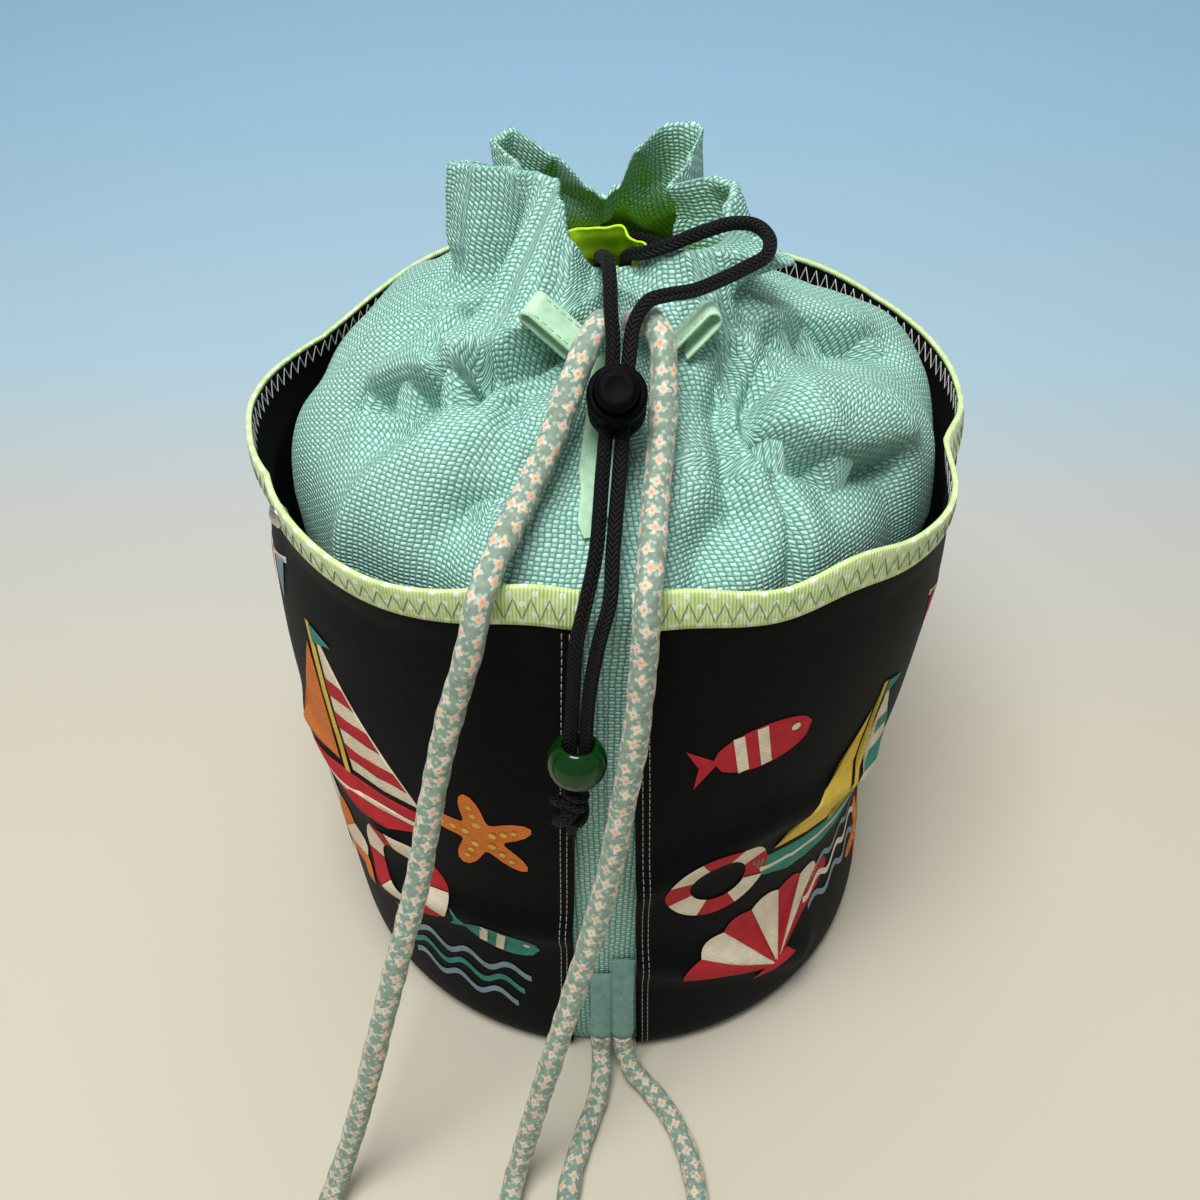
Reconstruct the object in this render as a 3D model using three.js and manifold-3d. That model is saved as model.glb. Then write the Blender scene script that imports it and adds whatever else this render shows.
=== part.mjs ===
// Drawstring bucket bag in sewn cloth: round base, gathered neck, outer pocket, two rope straps.
// Sizes are in millimetres. The bag stands on z = 0 and its front faces -Y.
import * as THREE from 'three';
import { mergeVertices } from 'three/addons/utils/BufferGeometryUtils.js';
import Module from 'manifold-3d';

const wasm = await Module();
wasm.setup();

// Cloth thicknesses and the gap left between neighbouring pieces.
const BODY_CLOTH = 2;
const LINING_CLOTH = 1;
const POCKET_CLOTH = 1.6;
const RIBBON_CLOTH = 0.6;
const TAPE_CLOTH = 1.2;
const GAP = 0.4;
const SEAM_GAP = 0.75;

// Body wall, from the floor up: radius, height, depth of the gathers, depth of the front valley,
// fullness of the front, and how far the right shoulder puffs out.
const BODY_ROWS = [
  [100.6, 0.6, 0, 0, 0, 0],
  [105, 10, 0, 0, 0, 0],
  [106, 45, 0, 0, 0, 0],
  [105.5, 90, 0, 0, 2.5, 0],
  [106, 140, 0, 0, 5, 0],
  [106.5, 185, 0.3, 0, 5, 0],
  [107.5, 212, 0.8, 0.5, 4.5, 0],
  [105, 230, 1.8, 1, 6.5, 1],
  [98, 243, 3.2, 8, 5, 4],
  [88, 253.5, 5, 11, 2, 6],
  [76, 262.5, 7, 11, 0, 6.5],
  [64, 269.5, 10, 8.5, 0, 5],
  [53, 274.5, 12.5, 5, 0, 3],
  [44.5, 278.5, 14, 2, 0, 1],
  [40, 284, 14.5, 0, 0, 0],
];
const BODY_COLUMNS = 90;
const SHOULDER_ROW = 6;
const NECK_ROW = 14;
const RUFFLE_ROWS = 3;
const NECK_Z = BODY_ROWS[NECK_ROW][1];

// Gathers: bearings of the valleys in degrees from the front, and the size of the lobe after each.
const VALLEYS = [0, 72, 124, 188, 248, 298, 360];
const LOBE_SIZE = [0.8, 0.35, 0.8, 0.85, 0.75, 0.9];
const LOBE_ROUNDNESS = 0.8;
// Small ripples on the gathers: count around the neck, turn and size.
const RIPPLES = [[17, 1.3, 0.06], [26, 0.4, 0.04]];
// Hem of the floppy ruffle above the neck, all the way round: bearing, radius and height.
const RUFFLE_HEM = [
  [0, 26, 285],
  [12, 30, 287.5],
  [24, 38, 295],
  [36, 47, 297],
  [46, 57, 297],
  [56, 62, 293],
  [66, 54, 290],
  [78, 38, 291],
  [90, 36, 295],
  [103, 40, 298],
  [113, 36, 298],
  [124, 22, 296],
  [136, 36, 300],
  [148, 53, 304],
  [158, 48, 304],
  [166, 34, 301],
  [176, 24, 292],
  [190, 20, 290],
  [202, 24, 292],
  [212, 40, 298],
  [222, 52, 304],
  [232, 50, 304],
  [242, 36, 301],
  [252, 34, 301],
  [262, 48, 305],
  [270, 50, 307],
  [280, 42, 309],
  [292, 33, 310],
  [306, 28, 310],
  [320, 27, 310],
  [330, 31, 306],
  [340, 36, 297],
  [350, 31, 287.5],
];
// Bearing, width and size of the fuller front, its valley and the puffed and the flatter shoulder.
const FULL_FRONT = [[0, 30, 1]];
const FRONT_VALLEY = [[0, 10, 1]];
const SHOULDER_PUFF = [[82, 40, 0.9], [-90, 46, -0.9]];
// Diagonal folds that pinch the wall in: bearing and width, height and spread, depth.
const PINCHES = [[70, 37, 72, 37, 7], [-75, 34, 100, 34, 2]];

// Creases in the shoulder, each a path of bearings and radii with its width and depth. A depth
// below zero is a puffed ridge.
const CREASES = [
  { path: [[-21, 54], [-30, 64], [-42, 80], [-50, 90]], width: 8, depth: 8 },
  { path: [[-17, 58], [-20, 72], [-24, 93], [-27, 101]], width: 7.5, depth: 5.5 },
  { path: [[24, 66], [23, 82], [22, 92], [17, 100]], width: 7, depth: 5 },
  { path: [[34, 62], [33, 80], [35, 88], [40, 94], [54, 99]], width: 8, depth: 9 },
  { path: [[40, 60], [52, 63], [62, 69], [80, 80]], width: 8, depth: 7 },
  { path: [[29, 94], [28, 106]], width: 7, depth: 2.5 },
  { path: [[108, 50], [112, 72], [110, 95]], width: 8, depth: 6 },
  { path: [[140, 52], [136, 74], [141, 98]], width: 7, depth: 5 },
  { path: [[166, 50], [171, 70], [165, 92]], width: 8, depth: 6 },
  { path: [[198, 50], [194, 75], [199, 99]], width: 7, depth: 5 },
  { path: [[226, 50], [231, 76], [226, 94]], width: 8, depth: 6 },
  { path: [[262, 56], [265, 72], [266, 88]], width: 19, depth: 11 },
  { path: [[44, 72], [54, 85], [68, 98]], width: 12, depth: -5 },
  { path: [[-35, 70], [-34, 86], [-38, 98], [-44, 105]], width: 9, depth: -3 },
  { path: [[-55, 68], [-70, 78], [-72, 94]], width: 11, depth: -2.5 },
  { path: [[112, 58], [132, 84]], width: 28, depth: 8 },
];

// Lining: a cup that narrows to a soft collar in the mouth, which leans towards the front.
const LINING_ROWS = [
  [97.2, 3.6],
  [101.6, 14],
  [102.6, 45],
  [102.2, 90],
  [102.6, 190],
  [88, 228],
  [62, 246],
  [38, 258],
  [21, 265],
  [15.2, 271.5],
  [14.5, 277.5],
  [14.6, 281.5],
  [15.5, 285],
];
const LINING_COLUMNS = 36;
const MOUTH_SHIFT = new THREE.Vector2(-1.5, -4);
const COLLAR_ROW = 9;

// Pocket: the body row at each height, the slack over the body there away from the front, and the
// further slack at the left.
const POCKET_ROWS = [
  [0, 0.1, 0],
  [1, 0.2, 0.8],
  [2, 0.8, 2.8],
  [3, 2, 7.4],
  [4, 5, 6.4],
  [5, 8, 2],
  [6, 8, -1.2],
  [7, 11.5, 1.5],
];
const POCKET_COLUMNS = 66;
const POCKET_FLAT_FRONT = [[0, 34, 1]];
const POCKET_LEFT = [[-82, 46, 1]];
// Rim of the pocket: how far it waves out and rises, each as bearing, width in degrees and size.
const RIM_LIFT = 4;
const RIM_WAVES = [
  [-32, 24, 3.2],
  [-112, 26, -3],
  [46, 26, 2],
  [71, 10, -6],
  [92, 28, -4],
  [140, 22, 1.6],
];
const RIM_RISES = [
  [-11, 9, 5.8],
  [11, 6, 2.3],
  [24, 6, -1.5],
  [36, 8, 4.6],
  [-35, 9, -3],
  [-112, 28, -7],
  [-150, 22, 4],
];
const RIM_SMALL_WAVE = 0.8;
const RIM_SMALL_RISE = 0.9;
const RIM_BEGIN = 0.3;
const RIM_FIRST_ROW = 6;
const STRIP_RIGHT = [6.6, 3.4];
const STRIP_LEFT = [6.9, 3.7];
const RIBBON_SHARE = 0.49;

// Base, straps, drawcord, bead and lock.
const BASE_RADIUS = BODY_ROWS[0][0] - BODY_CLOTH - SEAM_GAP;
const BASE_THICKNESS = 3;
const STRAP_RADIUS = 3.8;
const CORD_RADIUS = 2;
const CORD_SPACING = 4.4;
const RING_RADIUS = 20;
const RING_Z = 277;
const RING_OPENING = 45;
const RING_END = [[3.8, -21.6, 285.2], [4.9, -20.9, 281.6], [8.4, -18.6, 278.2]];
const BEAD_RADIUS = 8.75;
const BEAD_HOLE = CORD_SPACING / 2 + CORD_RADIUS + 0.35;
const BEAD_CENTRE = new THREE.Vector3(-8.2, -124, 183.6);
const BEAD_WAY = new THREE.Vector3(0.06, 0.07, 1).normalize();
const LOCK_CENTRE = new THREE.Vector3(2, -82, 276.1);
const LOCK_WAY = new THREE.Vector3(-3.5, -35.5, -36.1).normalize();
const LOCK_RADIUS = 7.9;
const LOCK_BACK = -12;
const LOCK_FRONT = 10;
const LOCK_FLOOR = -10.4;
const PLUNGER_RADIUS = 5.6;
const PLUNGER_BACK = -4.4;
const PLUNGER_FRONT = 15.2;
const PLUNGER_TRAVEL = 3.5;
const SLOT_HALF_WIDTH = CORD_SPACING / 2 + CORD_RADIUS + 0.5;
const SLOT_HALF_HEIGHT = CORD_RADIUS + 0.4;
const SPRING_RADIUS = 4.1;
const SPRING_WIRE = 0.4;
const SPRING_TURNS = 4;
const FINE_GAP = 0.25;

// Snap, tape loops and strap tabs.
const SNAP_BEARING = -52;
const SNAP_RADIUS = 3.6;
const SNAP_HEIGHT = 2.1;
const LOOP_WIDTH = 7.5;
const LOOP_HEIGHT = 5.4;
const LOOP_LEFT = { root: [-11.2, -53.7, 278.8], tip: [-24.2, -50.9, 288.8], over: [0.3, -0.35, 0.9] };
const LOOP_RIGHT = { root: [20.3, -54.3, 278.8], tip: [28.8, -52.3, 287.8], over: [-0.3, -0.35, 0.9] };
const TAB_LOW = 22;
const TAB_Y = -110.9;
const TAB_HALF_WIDTH = 3.7;
const TAB_HALF_DEPTH = 3;
const TAB_LEFT = { x: -1.4, height: 32 };
const TAB_RIGHT = { x: 6.4, height: 41 };

// Routes of the free cords and straps.
const DRAWCORD_LEFT = [
  [-3.7, -21.75, 286.1],
  [-3.5, -22.7, 288.3],
  [-3.4, -26.4, 290.9],
  [-2.8, -35, 295],
  [-1.7, -45, 299.3],
  [-0.9, -52, 301],
  [-0.3, -58, 298.4],
  [0.1, -64.5, 293.2],
  [0.8, -72.1, 286.1],
  [-0.2, -81.9, 276.2],
  [-1.6, -95.9, 262],
  [-3, -110, 247.6],
  [-5.2, -117.4, 238.6],
  [-7.9, -121, 226],
  [-9, -122.3, 208],
  [-10.4, -124, 183.6],
  [-10.85, -124.53, 176],
];
const DRAWCORD_RIGHT = [
  [3.65, -21.75, 286.2],
  [3.9, -23.2, 289],
  [5.4, -27.2, 292.2],
  [9.4, -32.6, 295.2],
  [17.2, -35.2, 299.2],
  [25.6, -34, 302.2],
  [34, -32, 303.8],
  [40, -32.9, 303.5],
  [43.4, -37.3, 301.7],
  [42.4, -42.9, 299.4],
  [37, -46.8, 297.8],
  [29.4, -51, 295.8],
  [22.2, -55.6, 295],
  [15.6, -59, 295.4],
  [10, -62.4, 295.2],
  [6.4, -66.8, 291.3],
  [5.2, -72.3, 285.9],
  [4.2, -82.1, 276],
  [2.8, -96.1, 261.8],
  [1.4, -110.2, 247.4],
  [0.9, -117.6, 238.4],
  [-2, -121, 226],
  [-4.6, -122.3, 208],
  [-6, -124, 183.6],
  [-6.45, -124.53, 176],
];
const STRAP_LEFT = [
  [-1.55, -42.8, 277.4],
  [-3, -57.5, 285.5],
  [-6.4, -67, 284],
  [-10.2, -75.5, 277.3],
  [-15, -84.5, 266.6],
  [-21.8, -96, 256],
  [-28, -108.5, 247.8],
  [-32.6, -119, 240.2],
  [-36, -124, 226],
  [-43.5, -127, 200],
  [-49.7, -130.5, 173],
  [-55.6, -136, 144],
  [-62.6, -143, 118],
  [-70, -150, 90.6],
  [-78.5, -156, 58],
  [-87, -160.5, 28],
  [-92, -164.5, 13.5],
  [-95.5, -171, 5.6],
  [-97, -181, 4.2],
  [-95, -202, 4.2],
  [-82, -229, 4.2],
  [-58, -243, 4.2],
  [-33, -236, 4.2],
  [-18, -214, 4.2],
  [-13.5, -190, 4.2],
  [-13, -172, 4.2],
  [-10.7, -155.5, 4.2],
  [-6.5, -141, 4.2],
  [-2.4, -128, 4.4],
  [-1.2, -119, 7.2],
  [-1.4, -113, 12],
  [-1.4, -111.4, 16.8],
  [-1.4, -111.2, 21.55],
];
const STRAP_RIGHT = [
  [6.5, -46.1, 280.6],
  [11, -59, 287.4],
  [13.8, -65.5, 285.6],
  [14.4, -73, 278.6],
  [14, -84, 267.4],
  [12.6, -96, 256.4],
  [11.6, -108.5, 247.8],
  [10.7, -118.5, 240],
  [9.9, -123, 222],
  [8.1, -127, 196],
  [4.8, -130, 170],
  [1.5, -133, 146],
  [-3.3, -137, 122],
  [-9.3, -142, 97],
  [-15.9, -148, 71],
  [-23, -153.5, 41.5],
  [-28, -157.5, 20],
  [-31, -162, 9],
  [-32.6, -170, 4.6],
  [-33, -182, 4.2],
  [-31, -197, 6.8],
  [-23, -212, 12.8],
  [-9, -224, 12.8],
  [8, -236, 7],
  [24, -240, 4.2],
  [38, -229, 4.2],
  [43, -209, 4.2],
  [39, -188, 4.2],
  [34.4, -172, 4.2],
  [32.4, -158, 4.2],
  [29.5, -146, 4.2],
  [24, -134, 4.2],
  [17, -124.5, 4.6],
  [10.6, -118.4, 7.6],
  [7.3, -113, 12],
  [6.5, -111.4, 16.8],
  [6.4, -111.2, 21.55],
];

const DEGREE = Math.PI / 180;

// Bell curve of a bearing around a centre, both in degrees.
function bell(degrees, centre, width) {
  const turn = ((degrees - centre + 540) % 360) - 180;
  return Math.exp(-((turn / width) ** 2));
}

// Sum of bells listed as bearing, width and size.
function bells(list, degrees) {
  return list.reduce((sum, [bearing, width, size]) => sum + size * bell(degrees, bearing, width), 0);
}

function hump(value, centre, width) {
  return Math.exp(-(((value - centre) / width) ** 2));
}

// Gather wave at a bearing: -1 in a valley, up to the lobe's size on its crest.
function gather(degrees) {
  const bearing = ((degrees % 360) + 360) % 360;
  const lobe = VALLEYS.findIndex((valley, k) => bearing >= valley && bearing < VALLEYS[k + 1]);
  const share = (bearing - VALLEYS[lobe]) / (VALLEYS[lobe + 1] - VALLEYS[lobe]);
  return (1 + LOBE_SIZE[lobe]) * Math.sin(Math.PI * share) ** LOBE_ROUNDNESS - 1;
}

function ripple(degrees) {
  const at = ([count, turn, size]) => size * Math.cos(count * degrees * DEGREE + turn);
  return RIPPLES.reduce((sum, wave) => sum + at(wave), 0);
}

function pinch(degrees, z) {
  return PINCHES.reduce((sum, [bearing, width, height, spread, depth]) => {
    return sum + depth * bell(degrees, bearing, width) * hump(z, height, spread);
  }, 0);
}

// Radius and height of the ruffle's hem at a bearing, smoothly between the listed ones.
function hemAt(degrees) {
  const bearing = ((degrees % 360) + 360) % 360;
  const round = [...RUFFLE_HEM, [360, RUFFLE_HEM[0][1], RUFFLE_HEM[0][2]]];
  const next = round.findIndex(([at]) => at > bearing);
  const [low, high] = [round[next - 1], round[next]];
  const f = (bearing - low[0]) / (high[0] - low[0]);
  const ease = f * f * (3 - 2 * f);
  return { radius: low[1] + (high[1] - low[1]) * ease, z: low[2] + (high[2] - low[2]) * ease };
}

// Share of the way up the ruffle.
function ruffleShare(row) {
  return Math.max(0, row - NECK_ROW) / RUFFLE_ROWS;
}

// Values of the wall at a row, smoothly between the listed ones.
function rowAt(row) {
  const last = BODY_ROWS.length - 1;
  const low = Math.min(Math.floor(row), last - 1);
  const f = row - low;
  const [a, b, c, d] = [-1, 0, 1, 2].map((k) => BODY_ROWS[Math.min(Math.max(low + k, 0), last)]);
  return b.map((at, n) => {
    const slope = c[n] - a[n];
    const curve = 2 * a[n] - 5 * at + 4 * c[n] - d[n];
    const twist = 3 * at - a[n] - 3 * c[n] + d[n];
    return at + (slope * f + curve * f ** 2 + twist * f ** 3) / 2;
  });
}

// Outward direction of the wall in the radius-height plane.
function rowNormal(row) {
  if (row === 0 || row >= NECK_ROW) return new THREE.Vector2(1, 0);
  const [above, below] = [rowAt(row + 0.5), rowAt(row - 0.5)];
  return new THREE.Vector2(above[1] - below[1], below[0] - above[0]).normalize();
}

// Depth of the creases at a place on the shoulder, seen from above.
function creaseDepth(row, degrees) {
  if (row < SHOULDER_ROW || row >= NECK_ROW) return 0;
  const place = polar(degrees, rowAt(row)[0], 0);
  const nearest = new THREE.Vector3();
  return CREASES.reduce((sum, { path, width, depth }) => {
    const turns = path.map(([bearing, radius]) => polar(bearing, radius, 0));
    const spans = turns.slice(1).map((end, k) => {
      new THREE.Line3(turns[k], end).closestPointToPoint(place, true, nearest);
      return nearest.distanceTo(place);
    });
    return sum + depth * hump(Math.min(...spans), 0, width);
  }, 0);
}

function bodyRadius(row, degrees) {
  const [radius, z, depth, valley, fullness, puff] = rowAt(Math.min(row, NECK_ROW));
  const front = fullness * bells(FULL_FRONT, degrees) - valley * bells(FRONT_VALLEY, degrees);
  const shoulder = puff * bells(SHOULDER_PUFF, degrees);
  const wall = radius + depth * (gather(degrees) + ripple(degrees)) + front + shoulder - pinch(degrees, z);
  return wall + (hemAt(degrees).radius - wall) * ruffleShare(row);
}

function bodyHeight(row, degrees) {
  const z = rowAt(Math.min(row, NECK_ROW))[1];
  return z + (hemAt(degrees).z - z) * ruffleShare(row);
}

// Point at a bearing, radius and height: bearing 0 is the front, and it grows towards +X.
function polar(degrees, radius, z) {
  return new THREE.Vector3(radius * Math.sin(degrees * DEGREE), -radius * Math.cos(degrees * DEGREE), z);
}

function bodyPoint(row, degrees, offset) {
  const normal = rowNormal(row);
  const out = offset - creaseDepth(row, degrees);
  const radius = bodyRadius(row, degrees) + out * normal.x;
  return polar(degrees, radius, bodyHeight(row, degrees) + out * normal.y);
}

// Closed shell between an outer and an inner grid of points. A ring closes on itself, and a cup has
// a floor at the two given heights.
function shell(rows, columns, ring, outer, inner, floors) {
  const points = [];
  for (const side of [outer, inner]) {
    for (let i = 0; i < rows; i += 1) {
      for (let j = 0; j < columns; j += 1) points.push(side(i, j));
    }
  }
  const out = (i, j) => i * columns + (j % columns);
  const back = (i, j) => rows * columns + out(i, j);
  const index = [];
  const reach = (a, b) => points[a].distanceTo(points[b]);
  const quad = (a, b, c, d) => {
    if (reach(a, c) <= reach(b, d)) index.push(a, b, c, a, c, d);
    else index.push(b, c, d, b, d, a);
  };
  const steps = ring ? columns : columns - 1;
  const top = rows - 1;
  for (let j = 0; j < steps; j += 1) {
    for (let i = 0; i < top; i += 1) {
      quad(out(i, j), out(i, j + 1), out(i + 1, j + 1), out(i + 1, j));
      quad(back(i, j), back(i + 1, j), back(i + 1, j + 1), back(i, j + 1));
    }
    quad(out(top, j), out(top, j + 1), back(top, j + 1), back(top, j));
    if (!floors) quad(out(0, j), back(0, j), back(0, j + 1), out(0, j + 1));
  }
  if (!ring) {
    const last = columns - 1;
    for (let i = 0; i < top; i += 1) {
      quad(out(i, 0), out(i + 1, 0), back(i + 1, 0), back(i, 0));
      quad(out(i, last), back(i, last), back(i + 1, last), out(i + 1, last));
    }
  }
  if (floors) {
    const under = points.push(new THREE.Vector3(0, 0, floors[0])) - 1;
    const over = points.push(new THREE.Vector3(0, 0, floors[1])) - 1;
    for (let j = 0; j < columns; j += 1) {
      index.push(under, out(0, j + 1), out(0, j));
      index.push(over, back(0, j), back(0, j + 1));
    }
  }
  const geometry = new THREE.BufferGeometry().setFromPoints(points);
  geometry.setIndex(index);
  return geometry;
}

// Round cord of even thickness along a list of points.
function cord(points, radius, sides, steps) {
  const path = new THREE.CatmullRomCurve3(points.map((p) => new THREE.Vector3(...p)), false, 'centripetal');
  const section = new THREE.Shape();
  for (let k = 0; k < sides; k += 1) {
    const turn = (2 * Math.PI * k) / sides;
    const at = [radius * Math.cos(turn), radius * Math.sin(turn)];
    if (k === 0) section.moveTo(...at);
    else section.lineTo(...at);
  }
  section.closePath();
  return new THREE.ExtrudeGeometry(section, { steps, extrudePath: path, bevelEnabled: false });
}

// Turned shape about +Z from pairs of radius and height, starting low.
function turned(profile, segments) {
  const geometry = new THREE.LatheGeometry(profile.map(([r, z]) => new THREE.Vector2(r, z)), segments);
  return geometry.rotateX(Math.PI / 2);
}

function signedVolume(geometry) {
  const position = geometry.getAttribute('position');
  const index = geometry.index ? geometry.index.array : [...Array(position.count).keys()];
  const [a, b, c] = [new THREE.Vector3(), new THREE.Vector3(), new THREE.Vector3()];
  let sum = 0;
  for (let k = 0; k < index.length; k += 3) {
    a.fromBufferAttribute(position, index[k]);
    b.fromBufferAttribute(position, index[k + 1]);
    c.fromBufferAttribute(position, index[k + 2]);
    sum += a.dot(b.cross(c)) / 6;
  }
  return sum;
}

// Geometry as shared vertices without flat triangles, facing out.
function tidy(geometry) {
  geometry.deleteAttribute('normal');
  geometry.deleteAttribute('uv');
  const merged = mergeVertices(geometry, 1e-4);
  const facing = signedVolume(merged) > 0;
  const kept = [];
  for (let k = 0; k < merged.index.count; k += 3) {
    const [a, b, c] = [0, 1, 2].map((n) => merged.index.getX(k + n));
    if (a !== b && b !== c && c !== a) kept.push(a, facing ? b : c, facing ? c : b);
  }
  merged.setIndex(kept);
  return merged;
}

function solidOf(geometry) {
  const merged = tidy(geometry);
  return new wasm.Manifold(
    new wasm.Mesh({
      numProp: 3,
      vertProperties: new Float32Array(merged.getAttribute('position').array),
      triVerts: new Uint32Array(merged.index.array),
    }),
  );
}

function cut(body, ...tools) {
  const result = tools.reduce((left, tool) => left.subtract(solidOf(tool)), solidOf(body)).getMesh();
  const geometry = new THREE.BufferGeometry();
  geometry.setAttribute('position', new THREE.BufferAttribute(new Float32Array(result.vertProperties), 3));
  geometry.setIndex([...result.triVerts]);
  return geometry;
}

// Flat bar along +Y for the cords to pass through, wide along X.
function slotBar(halfWidth, low, high, length) {
  const bar = new THREE.BoxGeometry(2 * halfWidth, length, high - low);
  return bar.translate(0, 0, (low + high) / 2);
}

const paint = (colour, roughness) => new THREE.MeshStandardMaterial({ color: colour, roughness });
const TEAL_WEAVE = paint(0x7fb5a8, 0.95);
const BLACK_COTTON = paint(0x16171b, 0.9);
const LIME_COTTON = paint(0xa8cf1c, 0.9);
const LIME_RIBBON = paint(0xa9cc6a, 0.8);
const MINT_TAPE = paint(0xa9dcc0, 0.9);
const ROPE_COVER = paint(0x7d9a8b, 0.9);
const BLACK_BRAID = paint(0x101012, 0.7);
const BLACK_PLASTIC = paint(0x0c0c0d, 0.35);
const GREEN_BEAD = paint(0x0b4a22, 0.2);
const SPRING_STEEL = paint(0xa8aaad, 0.35);

const bag = new THREE.Group();
bag.name = 'drawstring_bucket_bag';

function add(name, geometry, material) {
  const mesh = new THREE.Mesh(tidy(geometry), material);
  mesh.name = name;
  bag.add(mesh);
}

// Round base that the bag stands on.
const base = new THREE.CylinderGeometry(BASE_RADIUS, BASE_RADIUS, BASE_THICKNESS, 72);
base.rotateX(Math.PI / 2).translate(0, 0, BASE_THICKNESS / 2);
add('base_panel', base, BLACK_COTTON);

// Body wall with its gathered neck and the ruffle above it.
const columnTurn = 360 / BODY_COLUMNS;
const bodyRows = BODY_ROWS.flatMap((_, k) => (k >= SHOULDER_ROW && k < NECK_ROW ? [k, k + 0.5] : [k]));
for (let k = 1; k <= RUFFLE_ROWS; k += 1) bodyRows.push(NECK_ROW + k);
const bodyGrid = (offset) => (i, j) => bodyPoint(bodyRows[i], j * columnTurn, offset);
add('bag_body', shell(bodyRows.length, BODY_COLUMNS, true, bodyGrid(0), bodyGrid(-BODY_CLOTH)), TEAL_WEAVE);

// Lining cup with the soft collar in the mouth.
function liningGrid(inset) {
  return (i, j) => {
    const [radius, z] = LINING_ROWS[i];
    const lean = Math.max(0, i - COLLAR_ROW) / (LINING_ROWS.length - 1 - COLLAR_ROW);
    const degrees = (360 * j) / LINING_COLUMNS;
    const fold = lean * (0.6 * Math.sin(5 * degrees * DEGREE + 0.6) + 0.4 * Math.sin(8 * degrees * DEGREE));
    const rise = i === 0 ? inset : 0;
    const inward = z > LINING_ROWS[4][1] && z < LINING_ROWS[COLLAR_ROW][1] ? inset * 1.3 : inset;
    const point = polar(degrees, radius + fold - inward - pinch(degrees, z), z + rise + fold);
    return point.add(new THREE.Vector3(MOUTH_SHIFT.x * lean, MOUTH_SHIFT.y * lean, 0));
  };
}
const liningFloors = [LINING_ROWS[0][1], LINING_ROWS[0][1] + LINING_CLOTH];
const liningOuter = liningGrid(0);
const liningInner = liningGrid(LINING_CLOTH);
add(
  'lining',
  shell(LINING_ROWS.length, LINING_COLUMNS, true, liningOuter, liningInner, liningFloors),
  LIME_COTTON,
);

// Outer pocket, open along the front strip and loose towards the rim at the sides and back.
function pocketRadius(row, degrees) {
  const [bodyRow, slack, left] = POCKET_ROWS[row];
  const loose = slack * (1 - bells(POCKET_FLAT_FRONT, degrees)) + left * bells(POCKET_LEFT, degrees);
  return bodyRadius(bodyRow, degrees) + SEAM_GAP + loose + rimShare(row) * rimWave(degrees) + POCKET_CLOTH;
}

// Share of the rim's waves that a row of the pocket takes.
function rimShare(row) {
  if (row < RIM_FIRST_ROW) return 0;
  return row === RIM_FIRST_ROW ? RIM_BEGIN : 1;
}

function rimWave(degrees) {
  const small = RIM_SMALL_WAVE * Math.sin(7 * degrees * DEGREE + 0.7);
  return bells(RIM_WAVES, degrees) + small * (1 - bells(POCKET_FLAT_FRONT, degrees));
}

function rimHeight(degrees) {
  return bells(RIM_RISES, degrees) + RIM_SMALL_RISE * Math.sin(6 * degrees * DEGREE);
}

function pocketHeight(row, degrees) {
  const lift = row === POCKET_ROWS.length - 1 ? RIM_LIFT : 0;
  return BODY_ROWS[POCKET_ROWS[row][0]][1] + lift + rimShare(row) * rimHeight(degrees);
}

// Bearing of a pocket column: the front strip is wider at the floor than at the rim.
function pocketBearing(row, j) {
  const up = BODY_ROWS[POCKET_ROWS[row][0]][1] / BODY_ROWS[POCKET_ROWS[POCKET_ROWS.length - 1][0]][1];
  const first = STRIP_RIGHT[0] + (STRIP_RIGHT[1] - STRIP_RIGHT[0]) * up;
  const last = 360 - STRIP_LEFT[0] - (STRIP_LEFT[1] - STRIP_LEFT[0]) * up;
  return first + ((last - first) * j) / (POCKET_COLUMNS - 1);
}

function pocketGrid(inset) {
  return (i, j) => {
    const degrees = pocketBearing(i, j);
    return polar(degrees, pocketRadius(i, degrees) - inset, pocketHeight(i, degrees));
  };
}
const pocketOuter = pocketGrid(0);
const pocketInner = pocketGrid(POCKET_CLOTH);
const pocketRows = POCKET_ROWS.length;
add('outer_pocket', shell(pocketRows, POCKET_COLUMNS, false, pocketOuter, pocketInner), BLACK_COTTON);

// Ribbon along the outside of the pocket's rim.
function ribbonGrid(offset) {
  return (i, j) => {
    const high = pocketOuter(pocketRows - 1, j);
    const low = pocketOuter(pocketRows - 2, j).lerp(high, 1 - RIBBON_SHARE * (1 - i));
    const outward = new THREE.Vector3(low.x, low.y, 0).normalize();
    return low.addScaledVector(outward, offset);
  };
}
const ribbonBack = SEAM_GAP + FINE_GAP / 2;
const ribbonFace = ribbonBack + RIBBON_CLOTH;
const ribbon = shell(2, POCKET_COLUMNS, false, ribbonGrid(ribbonFace), ribbonGrid(ribbonBack));
add('rim_ribbon', ribbon, LIME_RIBBON);

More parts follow.
